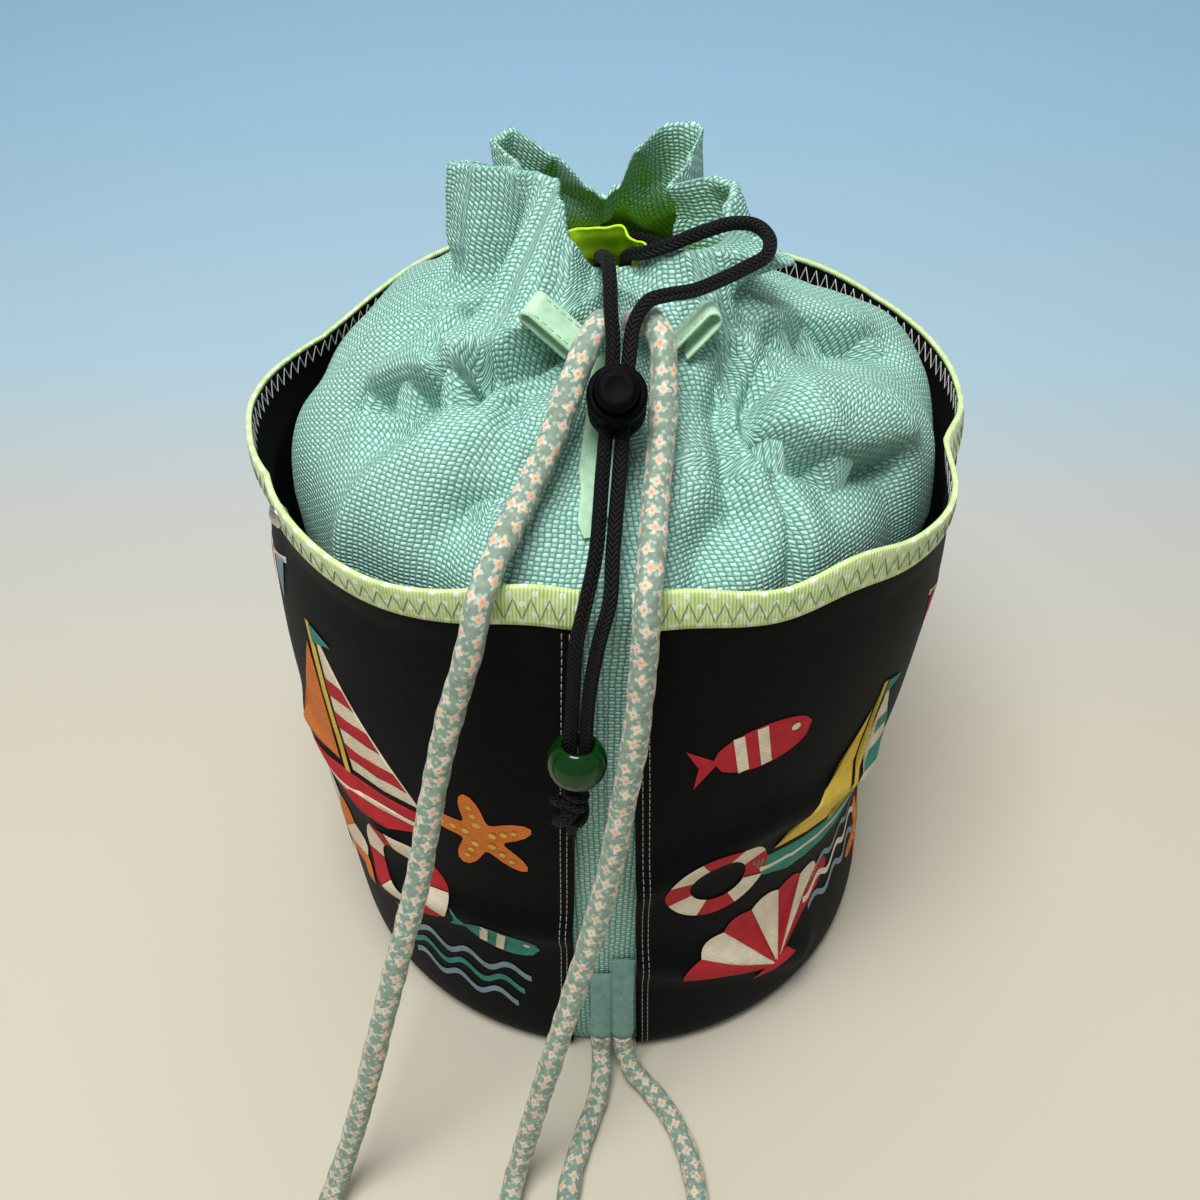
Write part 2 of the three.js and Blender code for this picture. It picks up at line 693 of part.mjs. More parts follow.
// Snap on the rim at the left: a cap outside on the ribbon and one inside the pocket.
const snapColumn = Math.round(((360 + SNAP_BEARING) / 360) * (POCKET_COLUMNS - 1));
const snapTop = pocketOuter(pocketRows - 1, snapColumn);
const snapSpot = pocketOuter(pocketRows - 2, snapColumn).lerp(snapTop, 0.74);
const snapOut = new THREE.Vector3(snapSpot.x, snapSpot.y, 0).normalize();
function snapCap(side, clearance) {
  const profile = [[0, 0], [SNAP_RADIUS, 0], [SNAP_RADIUS, 0.4 * SNAP_HEIGHT]];
  profile.push([0.7 * SNAP_RADIUS, 0.8 * SNAP_HEIGHT], [0, SNAP_HEIGHT]);
  const cap = turned(profile, 16);
  cap.rotateX(Math.PI / 2);
  cap.rotateZ(Math.atan2(snapOut.y, snapOut.x) + (side * Math.PI) / 2);
  return cap.translate(...snapSpot.clone().addScaledVector(snapOut, side * clearance).toArray());
}
const SNAP_CLEARANCE = 1.3;
add('snap_cap_outer', snapCap(1, ribbonFace + SNAP_CLEARANCE), BLACK_PLASTIC);
add('snap_cap_inner', snapCap(-1, POCKET_CLOTH + SNAP_CLEARANCE), BLACK_PLASTIC);

// Folded tape placket in the front valley, below the gap in the ruffle.
const PLACKET_LOW = 8;
const PLACKET_ROWS = 7;
const PLACKET_LEFT = -2;
const placketBearing = (j) => (j + PLACKET_LEFT) * columnTurn;
const placketGrid = (offset) => (i, j) => bodyPoint(PLACKET_LOW + i / 2, placketBearing(j), offset);
const placketFace = GAP + 2 * TAPE_CLOTH;
add('placket_tape', shell(PLACKET_ROWS, 3, false, placketGrid(placketFace), placketGrid(GAP)), MINT_TAPE);

// Loops of folded tape at both sides of the gap.
function tapeLoop(place) {
  const [root, tip, over] = [place.root, place.tip, place.over].map((p) => new THREE.Vector3(...p));
  const along = tip.clone().sub(root);
  const length = along.length();
  along.normalize();
  const up = over.clone().addScaledVector(along, -over.dot(along)).normalize();
  const across = new THREE.Vector3().crossVectors(along, up);
  const loop = new THREE.Shape();
  const half = LOOP_HEIGHT / 2;
  loop.moveTo(0, -half);
  loop.lineTo(length - half, -half);
  loop.absarc(length - half, 0, half, -Math.PI / 2, Math.PI / 2, false);
  loop.lineTo(0, half);
  loop.closePath();
  const slit = new THREE.Path();
  const inner = half - TAPE_CLOTH;
  slit.moveTo(TAPE_CLOTH, -inner);
  slit.lineTo(length - half, -inner);
  slit.absarc(length - half, 0, inner, -Math.PI / 2, Math.PI / 2, false);
  slit.lineTo(TAPE_CLOTH, inner);
  slit.closePath();
  loop.holes.push(slit);
  const sweep = { depth: LOOP_WIDTH, steps: 1, bevelEnabled: false, curveSegments: 8 };
  const tape = new THREE.ExtrudeGeometry(loop, sweep);
  tape.translate(0, 0, -LOOP_WIDTH / 2);
  return tape.applyMatrix4(new THREE.Matrix4().makeBasis(along, up, across).setPosition(root));
}
add('tape_loop_left', tapeLoop(LOOP_LEFT), MINT_TAPE);
add('tape_loop_right', tapeLoop(LOOP_RIGHT), MINT_TAPE);

// Sewn tabs on the front strip that hold the lower ends of the straps.
function strapTab({ x, height }) {
  const section = new THREE.Shape();
  section.absellipse(0, 0, TAB_HALF_WIDTH, TAB_HALF_DEPTH, 0, 2 * Math.PI, false, 0);
  const sweep = { depth: height, steps: 1, bevelEnabled: false, curveSegments: 10 };
  return new THREE.ExtrudeGeometry(section, sweep).translate(x, TAB_Y, TAB_LOW);
}
add('strap_tab_left', strapTab(TAB_LEFT), TEAL_WEAVE);
add('strap_tab_right', strapTab(TAB_RIGHT), TEAL_WEAVE);

// Rope straps, from the gap in the ruffle down to the tabs.
add('strap_left', cord(STRAP_LEFT, STRAP_RADIUS, 8, 52), ROPE_COVER);
add('strap_right', cord(STRAP_RIGHT, STRAP_RADIUS, 8, 56), ROPE_COVER);

// Drawcord: the run inside the neck, and the two strands that come out at the front.
const ringPoints = [...RING_END];
for (let degrees = RING_OPENING; degrees <= 360 - RING_OPENING; degrees += 15) {
  ringPoints.push(polar(degrees, RING_RADIUS, RING_Z).toArray());
}
ringPoints.push(...RING_END.map(([x, y, z]) => [-x, y, z]).reverse());
add('drawcord_channel', cord(ringPoints, CORD_RADIUS, 8, 28), BLACK_BRAID);
add('drawcord_left', cord(DRAWCORD_LEFT, CORD_RADIUS, 8, 40), BLACK_BRAID);
add('drawcord_right', cord(DRAWCORD_RIGHT, CORD_RADIUS, 8, 60), BLACK_BRAID);

function alongCords(geometry, centre) {
  const turn = new THREE.Quaternion().setFromUnitVectors(new THREE.Vector3(0, 0, 1), BEAD_WAY);
  return geometry.applyQuaternion(turn).translate(...centre.toArray());
}

// Knot that keeps the bead on, with the two cut ends below it.
const KNOT_TOP = -8.3;
const knotProfile = [[0, -38], [3.6, -38], [4, -33.5], [5.8, -30], [6.5, -25.5], [5.5, -21]];
knotProfile.push([6.4, -16.5], [6.1, -11.5], [5, -9], [3.4, KNOT_TOP], [0, KNOT_TOP]);
add('cord_knot', alongCords(turned(knotProfile, 16), BEAD_CENTRE), BLACK_BRAID);

// Bead with one wide hole for both strands.
const beadProfile = [];
const lip = Math.acos((BEAD_HOLE + 0.45) / BEAD_RADIUS);
for (let k = 0; k <= 8; k += 1) {
  const rise = -lip + (2 * lip * k) / 8;
  beadProfile.push([BEAD_RADIUS * Math.cos(rise), BEAD_RADIUS * Math.sin(rise)]);
}
const lipZ = BEAD_RADIUS * Math.sin(lip) - 0.45;
beadProfile.push([BEAD_HOLE, lipZ], [BEAD_HOLE, -lipZ], beadProfile[0]);
add('bead', alongCords(turned(beadProfile, 24), BEAD_CENTRE), GREEN_BEAD);

// Barrel lock: cords run through it along +Y of its own frame, and the plunger slides along +Z.
const lockAxis = LOCK_WAY.clone().cross(new THREE.Vector3(1, 0, 0)).normalize();
const lockSide = new THREE.Vector3().crossVectors(LOCK_WAY, lockAxis);
const lockFrame = new THREE.Matrix4().makeBasis(lockSide, LOCK_WAY, lockAxis).setPosition(LOCK_CENTRE);
const BORE = PLUNGER_RADIUS + 0.35;
const barrelProfile = [[0, LOCK_BACK], [LOCK_RADIUS - 1.4, LOCK_BACK], [LOCK_RADIUS, LOCK_BACK + 1.4]];
barrelProfile.push([LOCK_RADIUS, LOCK_FRONT - 1], [LOCK_RADIUS - 1, LOCK_FRONT], [0, LOCK_FRONT]);
const bore = turned([[0, LOCK_FLOOR], [BORE, LOCK_FLOOR], [BORE, LOCK_FRONT + 2], [0, LOCK_FRONT + 2]], 24);
const cordSlot = slotBar(SLOT_HALF_WIDTH, -SLOT_HALF_HEIGHT, SLOT_HALF_HEIGHT, 4 * LOCK_RADIUS);
const housing = cut(turned(barrelProfile, 24), bore, cordSlot);
add('lock_housing', housing.applyMatrix4(lockFrame), BLACK_PLASTIC);
const plungerProfile = [[0, PLUNGER_BACK], [PLUNGER_RADIUS, PLUNGER_BACK]];
plungerProfile.push([PLUNGER_RADIUS, PLUNGER_FRONT - 1.6], [PLUNGER_RADIUS - 1.6, PLUNGER_FRONT - 0.3]);
plungerProfile.push([0, PLUNGER_FRONT]);
const slotHigh = SLOT_HALF_HEIGHT + PLUNGER_TRAVEL + 0.2;
const plungerSlot = slotBar(SLOT_HALF_WIDTH, -SLOT_HALF_HEIGHT, slotHigh, 4 * LOCK_RADIUS);
const plunger = cut(turned(plungerProfile, 20), plungerSlot);
add('lock_plunger', plunger.applyMatrix4(lockFrame), BLACK_PLASTIC);
const springLow = LOCK_FLOOR + SPRING_WIRE + FINE_GAP;
const springHigh = PLUNGER_BACK - SPRING_WIRE - FINE_GAP;
const springPoints = [];
for (let k = 0; k <= SPRING_TURNS * 8; k += 1) {
  const turn = (2 * Math.PI * k) / 8;
  const z = springLow + ((springHigh - springLow) * k) / (SPRING_TURNS * 8);
  springPoints.push([SPRING_RADIUS * Math.cos(turn), SPRING_RADIUS * Math.sin(turn), z]);
}
add('lock_spring', cord(springPoints, SPRING_WIRE, 6, 34).applyMatrix4(lockFrame), SPRING_STEEL);

export default bag;
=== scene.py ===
"""Drawstring bucket bag: its cloth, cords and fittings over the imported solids. Lengths are in millimetres
until a piece is made, and +Z is up, with the bag's front towards -Y."""
import math
from functools import partial

import bpy
import numpy as np
from mathutils import Matrix, Vector
from mathutils.geometry import delaunay_2d_cdt


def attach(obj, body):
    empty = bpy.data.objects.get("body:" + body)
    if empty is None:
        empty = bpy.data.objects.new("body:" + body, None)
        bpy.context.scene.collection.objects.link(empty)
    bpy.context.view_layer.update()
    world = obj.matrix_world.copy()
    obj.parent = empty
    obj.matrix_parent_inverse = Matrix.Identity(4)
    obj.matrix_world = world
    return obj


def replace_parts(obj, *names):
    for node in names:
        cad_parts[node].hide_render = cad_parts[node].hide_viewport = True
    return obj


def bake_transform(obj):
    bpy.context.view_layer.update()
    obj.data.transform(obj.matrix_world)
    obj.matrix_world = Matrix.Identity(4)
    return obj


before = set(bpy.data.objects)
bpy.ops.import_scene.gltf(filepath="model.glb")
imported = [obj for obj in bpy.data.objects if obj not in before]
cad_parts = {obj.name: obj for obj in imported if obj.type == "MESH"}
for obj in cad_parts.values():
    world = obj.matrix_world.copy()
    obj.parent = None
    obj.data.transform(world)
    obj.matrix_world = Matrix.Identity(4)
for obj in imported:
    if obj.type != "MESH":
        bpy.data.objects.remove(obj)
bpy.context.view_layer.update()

MM = 0.001
DEGREE = math.pi / 180
chance = np.random.default_rng(11)

# Camera, at the photograph's angle: above the front, looking down at the bag.
view = bpy.data.objects.new("camera", bpy.data.cameras.new("camera"))
bpy.context.collection.objects.link(view)
view.data.sensor_width = 36.0
view.data.lens = 37.5
view.data.clip_start = 0.01
view.location = (0.003, -0.3664, 0.447)
view.rotation_euler = (50 * DEGREE, 0, 1.1 * DEGREE)
bpy.context.scene.camera = view
bpy.context.scene.view_settings.view_transform = "Standard"


# Helpers: colours, nodes and pieces.
def linear(colour):
    """An sRGB hex colour as linear RGBA."""
    parts = [int(colour[k:k + 2], 16) / 255 for k in (1, 3, 5)]
    return tuple(c / 12.92 if c <= 0.04045 else ((c + 0.055) / 1.055) ** 2.4 for c in parts) + (1.0,)


def feed(tree, socket, source):
    """Links a node's first output, or the output given, to a socket, or sets the socket to a plain value."""
    if isinstance(source, bpy.types.Node):
        source = source.outputs[0]
    if isinstance(source, bpy.types.NodeSocket):
        tree.links.new(source, socket)
    else:
        socket.default_value = source


def add_node(tree, kind, *sources, at=None, stops=(), **named):
    """One node. The sources go into its first sockets in turn, and at holds more by their number. A name
    with a capital is a socket and any other a setting. Stops are the places and colours of a ramp."""
    node = tree.nodes.new("ShaderNode" + kind)
    sockets = dict(enumerate(sources)) | (at or {})
    for name, value in named.items():
        if name[0].isupper():
            sockets[name] = value
        else:
            setattr(node, name, value)
    for k, (place, colour) in enumerate(stops):
        stop = node.color_ramp.elements[k] if k < 2 else node.color_ramp.elements.new(place)
        stop.position = place
        stop.color = linear(colour)
    for socket, source in sockets.items():
        feed(tree, node.inputs[socket], source)
    return node


def to_shader(finish, **sources):
    """Feeds sockets of a finish's shader, whose names are written with _ for a space."""
    shader = finish.node_tree.nodes["Principled BSDF"]
    for name, source in sources.items():
        feed(finish.node_tree, shader.inputs[name.replace("_", " ")], source)
    return finish


def new_finish(name, **values):
    """A material whose plain values are set on its shader's own sockets, and what adds a node to it."""
    finish = bpy.data.materials.new(name)
    finish.use_nodes = True
    return to_shader(finish, **values), partial(add_node, finish.node_tree)


def piece(name, points, faces, finishes, body="bag", cloth=None, kinds=None):
    """A mesh piece from points in millimetres, riding on a body where one is given."""
    mesh = bpy.data.meshes.new(name)
    metres = np.asarray(points, float).reshape(-1, 3) * MM
    mesh.from_pydata(metres.tolist(), [], [list(map(int, f)) for f in faces])
    for finish in finishes:
        mesh.materials.append(finish)
    if cloth is not None:
        mesh.uv_layers.new(name="cloth").data.foreach_set("uv", np.asarray(cloth, np.float32).ravel())
    if kinds is not None:
        mesh.polygons.foreach_set("material_index", np.asarray(kinds, np.int32))
    mesh.polygons.foreach_set("use_smooth", [True] * len(mesh.polygons))
    mesh.validate()
    made = bpy.data.objects.new(name, mesh)
    bpy.context.collection.objects.link(made)
    if body:
        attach(made, body)
    return made


def placed(points, place):
    """Points put in place by a matrix."""
    return (np.array(place.to_3x3()) @ np.asarray(points, float).T).T + np.array(place.translation)


# Nets: points kept row by row, their faces, and their places on the flat cloth.
def net_faces(rows, columns, round_rows, round_columns):
    """Quads of a net of points kept row by row, closed on itself each way where asked."""
    i = np.arange(rows if round_rows else rows - 1)[:, None]
    j = np.arange(columns if round_columns else columns - 1)
    k, n = (j + 1) % columns, (i + 1) % rows
    return np.stack([i * columns + j, i * columns + k, n * columns + k, n * columns + j], -1).reshape(-1, 4)


def net_cloth(left, right, up, up_right):
    """Cloth places for each corner of a net's quads, from the values at both sides of each quad."""
    corners = [np.stack(pair, -1) for pair in (
        (left[:-1], up[:-1]), (right[:-1], up_right[:-1]), (right[1:], up_right[1:]), (left[1:], up[1:]))]
    return np.stack(corners, 2).reshape(-1, 2)


def lengths(points, axis):
    """Distance covered along an axis of a net."""
    steps = np.linalg.norm(np.diff(points, axis=axis), axis=-1)
    start = np.zeros_like(np.take(steps, [0], axis))
    return np.concatenate([start, np.cumsum(steps, axis)], axis)


def open_cloth(across, up):
    """Cloth places of a net from the lengths across and up it at each point."""
    return net_cloth(across[:, :-1], across[:, 1:], up[:, :-1], up[:, 1:])


def folded_cloth(across, up, gap):
    """Cloth places of a net whose last row joins the first one over a gap."""
    return open_cloth(np.vstack([across, across[:1]]), np.vstack([up, up[-1:] + gap]))


def sleeve_cloth(net):
    """Cloth places of a net whose last column joins the first one."""
    run, side = lengths(net, 0), lengths(net, 1)
    return open_cloth(np.hstack([side, side[:, -1:] + 1]), np.hstack([run, run[:, :1]]))


# Cords: a smooth route through listed points, and a round tube along it.
def route(points, step):
    """Points every step millimetres along a centripetal curve through the listed ones."""
    p = np.asarray(points, float)
    p = np.vstack([2 * p[0] - p[1], p, 2 * p[-1] - p[-2]])
    fine = []
    for a, b, c, d in zip(p[:-3], p[1:-2], p[2:-1], p[3:]):
        ta, tb, tc = (max(np.linalg.norm(q - r), 1e-6) ** 0.5 for q, r in ((b, a), (c, b), (d, c)))
        m = ((b - a) / ta - (c - a) / (ta + tb) + (c - b) / tb) * tb
        n = ((c - b) / tb - (d - b) / (tb + tc) + (d - c) / tc) * tb
        for f in np.linspace(0, 1, 24, endpoint=False):
            fine.append(b * (2 * f ** 3 - 3 * f ** 2 + 1) + m * (f ** 3 - 2 * f ** 2 + f)
                        + c * (3 * f ** 2 - 2 * f ** 3) + n * (f ** 3 - f ** 2))
    fine = np.array(fine + [p[-2]])
    run = np.r_[0, np.cumsum(np.linalg.norm(np.diff(fine, axis=0), axis=1))]
    spots = np.linspace(0, run[-1], max(3, int(run[-1] / step) + 1))
    return np.stack([np.interp(spots, run, fine[:, k]) for k in range(3)], -1)


STRAND_TURN = 11  # mm along the rope for one turn of its strands


def tube(path, radius, sides, first=0, strands=0.0):
    """Points, faces and cloth places of a closed tube along a path. The radius may change along it, and
    strands is the share of it by which two laid strands show through."""
    path = np.asarray(path, float)
    count = len(path)
    radius = np.broadcast_to(np.asarray(radius, float), (count,))
    way = np.gradient(path, axis=0)
    way /= np.linalg.norm(way, axis=1)[:, None]
    side = np.cross(way[0], (0.31, 0.17, 0.93))
    side /= np.linalg.norm(side)
    run = np.r_[0, np.cumsum(np.linalg.norm(np.diff(path, axis=0), axis=1))]
    turns = 2 * np.pi * np.arange(sides) / sides
    rings = []
    for at, w, r, far in zip(path, way, radius, run):
        side = side - w * side.dot(w)
        side /= np.linalg.norm(side)
        up = np.cross(w, side)
        reach = (r * (1 + strands * np.sin(2 * turns - 2 * np.pi * far / STRAND_TURN)))[:, None]
        rings.append(at + reach * (np.cos(turns)[:, None] * side + np.sin(turns)[:, None] * up))
    faces = (net_faces(count, sides, False, True) + first).tolist()
    faces.append([first + n for n in reversed(range(sides))])
    faces.append([first + (count - 1) * sides + n for n in range(sides)])
    around = 2 * np.pi * radius.mean() / sides * np.arange(sides + 1)
    ends = [(at, run[0]) for at in around[-2::-1]] + [(at, run[-1]) for at in around[:-1]]
    cloth = open_cloth(*np.broadcast_arrays(around, run[:, None]))
    return np.vstack(rings), faces, np.vstack([cloth, ends])


def threads(name, runs, radius, finish, sides=6, body="bag"):
    """Many short threads in one piece."""
    points, faces, cloth, count = [], [], [], 0
    for run in runs:
        p, f, c = tube(run, radius, sides, count)
        points.append(p)
        faces += f
        cloth.append(c)
        count += len(p)
    return piece(name, np.vstack(points), faces, [finish], body, np.vstack(cloth))


# Finishes. Sizes are in millimetres, and the relief of a bump is in metres.
def ribs(add, along, spacing):
    """A sine wave along a length, one rib to each spacing."""
    return add("Math", add("Math", along, 2 * math.pi / spacing, operation="MULTIPLY"), operation="SINE")


def woven(add, place, wide, high):
    """A chequer of crossing threads, from -1 to 1."""
    turn = add("VectorMath", place, (math.pi / wide, math.pi / high, 0), operation="MULTIPLY")
    cell = add("SeparateXYZ", add("VectorMath", turn, operation="SINE"))
    return add("Math", cell.outputs[0], cell.outputs[1], operation="MULTIPLY")


def slanted(add, place):
    """A length along the cloth's diagonal."""
    flat = add("SeparateXYZ", place)
    return add("Math", flat.outputs[0], flat.outputs[1], operation="ADD")


def basketweave_cotton():
    """Coarse cotton weave, piece dyed: pale crosswise floats in a chequer with deeper upright ones, quite
    matt.
    Painted shade darkens the low gaps where the threads cross, and the floats' raised crowns are painted
    paler."""
    finish, add = new_finish("basketweave_cotton", Roughness=0.92, Specular_IOR_Level=0.3)
    float_long, float_high = 1.85, 1.35  # one float, along the thread and up
    stray_size, slub_size = 6.0, 1.6  # where threads wander, and where they thicken
    place = add("UVMap", uv_map="cloth")
    stray = add("TexNoise", Vector=place, Scale=1 / stray_size, Detail=2.0)
    drift = add("VectorMath", stray.outputs["Color"], (0.5, 0.5, 0.5), operation="SUBTRACT")
    bent = add("VectorMath", drift, (1.3, 1.0, 0), place, operation="MULTIPLY_ADD")
    chequer = woven(add, bent, float_long, float_high)
    slub = add("TexNoise", Vector=place, Scale=1 / slub_size, Detail=3.0)
    uneven = add("Math", slub, 0.6, -0.3, operation="MULTIPLY_ADD")
    # Painted shade and highlight: the tone is darkest in the low gaps between the floats and palest on their
    # raised crowns; the slubs vary it at random.
    tone = add("MapRange", add("Math", chequer, uneven, operation="ADD"), -1.0, 1.0, 0.0, 1.0)
    colour = add("ValToRGB", tone, stops=[
        (0.0, "#9ccabd"), (0.95, "#bbdfd3"), (0.28, "#8ebdb0"), (0.42, "#558575"), (0.52, "#5b8d7e"),
        (0.66, "#abd5c8")])
    raised = add("Math", chequer, operation="ABSOLUTE")
    relief = add("Bump", Height=raised, Strength=0.7, Distance=0.0006)
    return to_shader(finish, Base_Color=colour, Normal=relief)


def plain_cotton(name, colour, deep, sheen=0.0, gloss=0.3, rough=0.9, on_solid=False):
    """Plain-woven cotton poplin: flat colour with a faint thread grain, soft lint and a slight sheen."""
    finish, add = new_finish(
        name, Roughness=rough, Specular_IOR_Level=gloss, Sheen_Weight=sheen, Sheen_Roughness=0.5)
    thread = 0.9  # drawn coarser than the real 0.3 so that it shows
    lint_size = 5.0
    if on_solid:
        place = add("VectorMath", add("TexCoord").outputs["Object"], (1 / MM,) * 3, operation="MULTIPLY")
    else:
        place = add("UVMap", uv_map="cloth")
    lint = add("TexNoise", Vector=place, Scale=1 / lint_size, Detail=6.0, Roughness=0.7)
    grain = add("Math", woven(add, place, thread, thread), 0.12, lint, operation="MULTIPLY_ADD")
    shade = add("ValToRGB", grain, stops=[(0.3, deep), (0.72, colour)])
    relief = add("Bump", Height=grain, Strength=0.35, Distance=0.0003)
    return to_shader(finish, Base_Color=shade, Normal=relief)


def grosgrain_ribbon():
    """Ribbed grosgrain with printed dots: the upright ribs get a painted highlight where they catch the
    light, and the dots sit in three rows.
    """
    finish, add = new_finish("grosgrain_ribbon", Roughness=0.62, Sheen_Weight=0.2, Sheen_Roughness=0.4)
    rib = 1.05  # drawn coarser than the real 0.5 so that it shows
    # Between dots, between rows, a dot's radius, and from the edge to the first row.
    pitch, row, dot, first_row = 7.2, 3.3, 0.92, 2.3
    worn_size = 6.0
    place = add("UVMap", uv_map="cloth")
    # Two lattices of dots, the second moved by half a pitch and one row.
    masks = []
    for across, up in ((0.0, 0.0), (pitch / 2, row)):
        moved = add("VectorMath", place, (across, up - first_row, 0), operation="SUBTRACT")
        cell = add("VectorMath", moved, (pitch, 2 * row, 1), operation="DIVIDE")
        half = add("VectorMath", cell, (0.5, 0.5, 0.5), operation="ADD")
        part = add("VectorMath", half, operation="FRACTION")
        centred = add("VectorMath", part, (0.5, 0.5, 0), operation="SUBTRACT")
        sized = add("VectorMath", centred, (pitch, 2 * row, 0), operation="MULTIPLY")
        away = add("VectorMath", sized, operation="LENGTH")
        masks.append(add("Math", away.outputs["Value"], dot, operation="LESS_THAN"))
    dots = add("Math", *masks, operation="MAXIMUM")
    ribbed = ribs(add, add("SeparateXYZ", place).outputs[0], rib)
    worn = add("TexNoise", Vector=place, Scale=1 / worn_size, Detail=4.0)
    # Painted highlight: the rib crowns are paler; the wear noise varies the tone at random.
    tone = add("Math", ribbed, 0.22, worn, operation="MULTIPLY_ADD")
    green = add("ValToRGB", tone, stops=[(0.2, "#a8cb72"), (0.85, "#ecf8c2"), (0.5, "#cce696")])
    colour = add("Mix", dots, at={6: green, 7: linear("#f3f6e6")}, data_type="RGBA")
    relief = add("Bump", Height=ribbed, Strength=0.5, Distance=0.0003)
    return to_shader(finish, Base_Color=colour.outputs[2], Normal=relief)


def twill_tape(name, pale, deep):
    """Cotton twill tape: fine slanted ribs, soft and matt, with a faint painted highlight on the raised ribs.
    """
    finish, add = new_finish(name, Roughness=0.9, Sheen_Weight=0.15)
    rib, worn_size = 1.1, 4.0
    place = add("UVMap", uv_map="cloth")
    ribbed = ribs(add, slanted(add, place), rib)
    worn = add("TexNoise", Vector=place, Scale=1 / worn_size, Detail=4.0)
    # Painted highlight: the raised ribs are a little paler; the wear noise varies the tone at random.
    tone = add("Math", ribbed, 0.07, worn, operation="MULTIPLY_ADD")
    colour = add("ValToRGB", tone, stops=[(0.25, deep), (0.75, pale)])
    relief = add("Bump", Height=ribbed, Strength=0.15, Distance=0.0003)
    return to_shader(finish, Base_Color=colour, Normal=relief)


def flowered_rope_sleeve():
    """Printed cotton sleeve drawn over rope: small pale blossoms with peach discs, and sprigs, on
    grey-green."""
    finish, add = new_finish("flowered_rope_sleeve", Roughness=0.9, Sheen_Weight=0.15)
    spacing, sprig_spacing = 5.0, 2.6  # between blossoms and between sprigs
    ragged_size, ground_size, wrinkle_size = 0.9, 2.2, 3.0
    disc_size, heart_size, sprig_size = 0.2, 0.08, 0.2  # shares of their spacing
    place = add("UVMap", uv_map="cloth")
    spread, strewn = (add("VectorMath", place, (1 / apart,) * 3, operation="MULTIPLY")
                      for apart in (spacing, sprig_spacing))
    bloom, sprig = (add("TexVoronoi", Vector=where, Scale=1.0, Randomness=loose, voronoi_dimensions="2D")
                    for where, loose in ((spread, 0.5), (strewn, 0.9)))
    at = add("SeparateXYZ", add("VectorMath", spread, bloom.outputs["Position"], operation="SUBTRACT"))
    sort = add("SeparateColor", bloom.outputs["Color"])
    angle = add("Math", at.outputs[1], at.outputs[0], operation="ARCTAN2")
    petals_round = add("Math", angle, 4.0, sort.outputs[1], operation="MULTIPLY_ADD")
    lobes = add("Math", petals_round, operation="COSINE")
    ragged, ground, wrinkle = (
        add("TexNoise", Vector=place, Scale=1 / size, Detail=detail)
        for size, detail in ((ragged_size, 2.0), (ground_size, 4.0), (wrinkle_size, 3.0)))
    uneven = add("Math", ragged, 0.3, 0.16, operation="MULTIPLY_ADD")
    edge = add("Math", lobes, 0.1, uneven, operation="MULTIPLY_ADD")
    # The print's edges are a little blurred.
    flower, disc, heart = (
        add("Math", add("Math", limit, bloom.outputs["Distance"], operation="SUBTRACT"), 9.0, 0.5,
            operation="MULTIPLY_ADD", use_clamp=True) for limit in (edge, disc_size, heart_size))
    speck = add("Math", sprig.outputs["Distance"], sprig_size, operation="LESS_THAN")
    green = add("ValToRGB", ground, stops=[(0.3, "#6f8272"), (0.7, "#8b9c8b")])
    petal = add("ValToRGB", ragged, stops=[(0.35, "#9db09f"), (0.66, "#ced2bf")])
    peach = add("ValToRGB", sort.outputs[2], stops=[(0.2, "#e3c8ae"), (0.8, "#e3ae90")])
    middle = add("ValToRGB", sort.outputs[0], stops=[(0.2, "#d99a74"), (0.8, "#cf8158")])
    colour = green.outputs[0]
    for mask, layer in ((speck, linear("#9fb3a5")), (flower, petal), (disc, peach), (heart, middle)):
        colour = add("Mix", mask, at={6: colour, 7: layer}, data_type="RGBA").outputs[2]
    relief = add("Bump", Height=wrinkle, Strength=0.5, Distance=0.0008)
    return to_shader(finish, Base_Color=colour, Normal=relief)


def braided_cord():
    """Round braid of black polyester yarn: a herringbone of short slanted floats with a low gloss, their
    crowns painted paler as glints.
    """
    finish, add = new_finish("braided_black_cord", Roughness=0.6, Specular_IOR_Level=0.16)
    # From float to float along the cord, the way round it, and how many floats lie round it.
    plait, girth, plaits_round = 1.6, 12.57, 8
    flat = add("SeparateXYZ", add("UVMap", uv_map="cloth"))
    fold = add("Math", flat.outputs[0], girth / plaits_round, operation="PINGPONG")
    slant = add("Math", fold, 1.2, flat.outputs[1], operation="MULTIPLY_ADD")
    floats = ribs(add, slant, plait)
    tone = add("MapRange", floats, -1.0, 1.0, 0.0, 1.0)
    # Painted glints: the floats' raised crowns are drawn paler than the black yarn.
    shaded_yarn = add("ValToRGB", tone, stops=[(0.25, "#020203"), (0.95, "#1d1d20")])
    relief = add("Bump", Height=floats, Strength=0.9, Distance=0.0004)
    return to_shader(finish, Base_Color=shaded_yarn, Normal=relief)


def moulded(name, colour, roughness, coat, grain, gloss=0.5):
    """Moulded plastic or glass: an even colour, a clear gloss and a faint uneven surface."""
    finish, add = new_finish(
        name, Roughness=roughness, Coat_Weight=coat, Coat_Roughness=0.06, Specular_IOR_Level=gloss)
    speck = add("TexNoise", Vector=add("TexCoord").outputs["Object"], Scale=1 / (grain * MM), Detail=3.0)
    tint = add("ValToRGB", speck, stops=[(0.3, colour[0]), (0.7, colour[1])])
    relief = add("Bump", Height=speck, Strength=0.08, Distance=0.0002)
    return to_shader(finish, Base_Color=tint, Normal=relief)


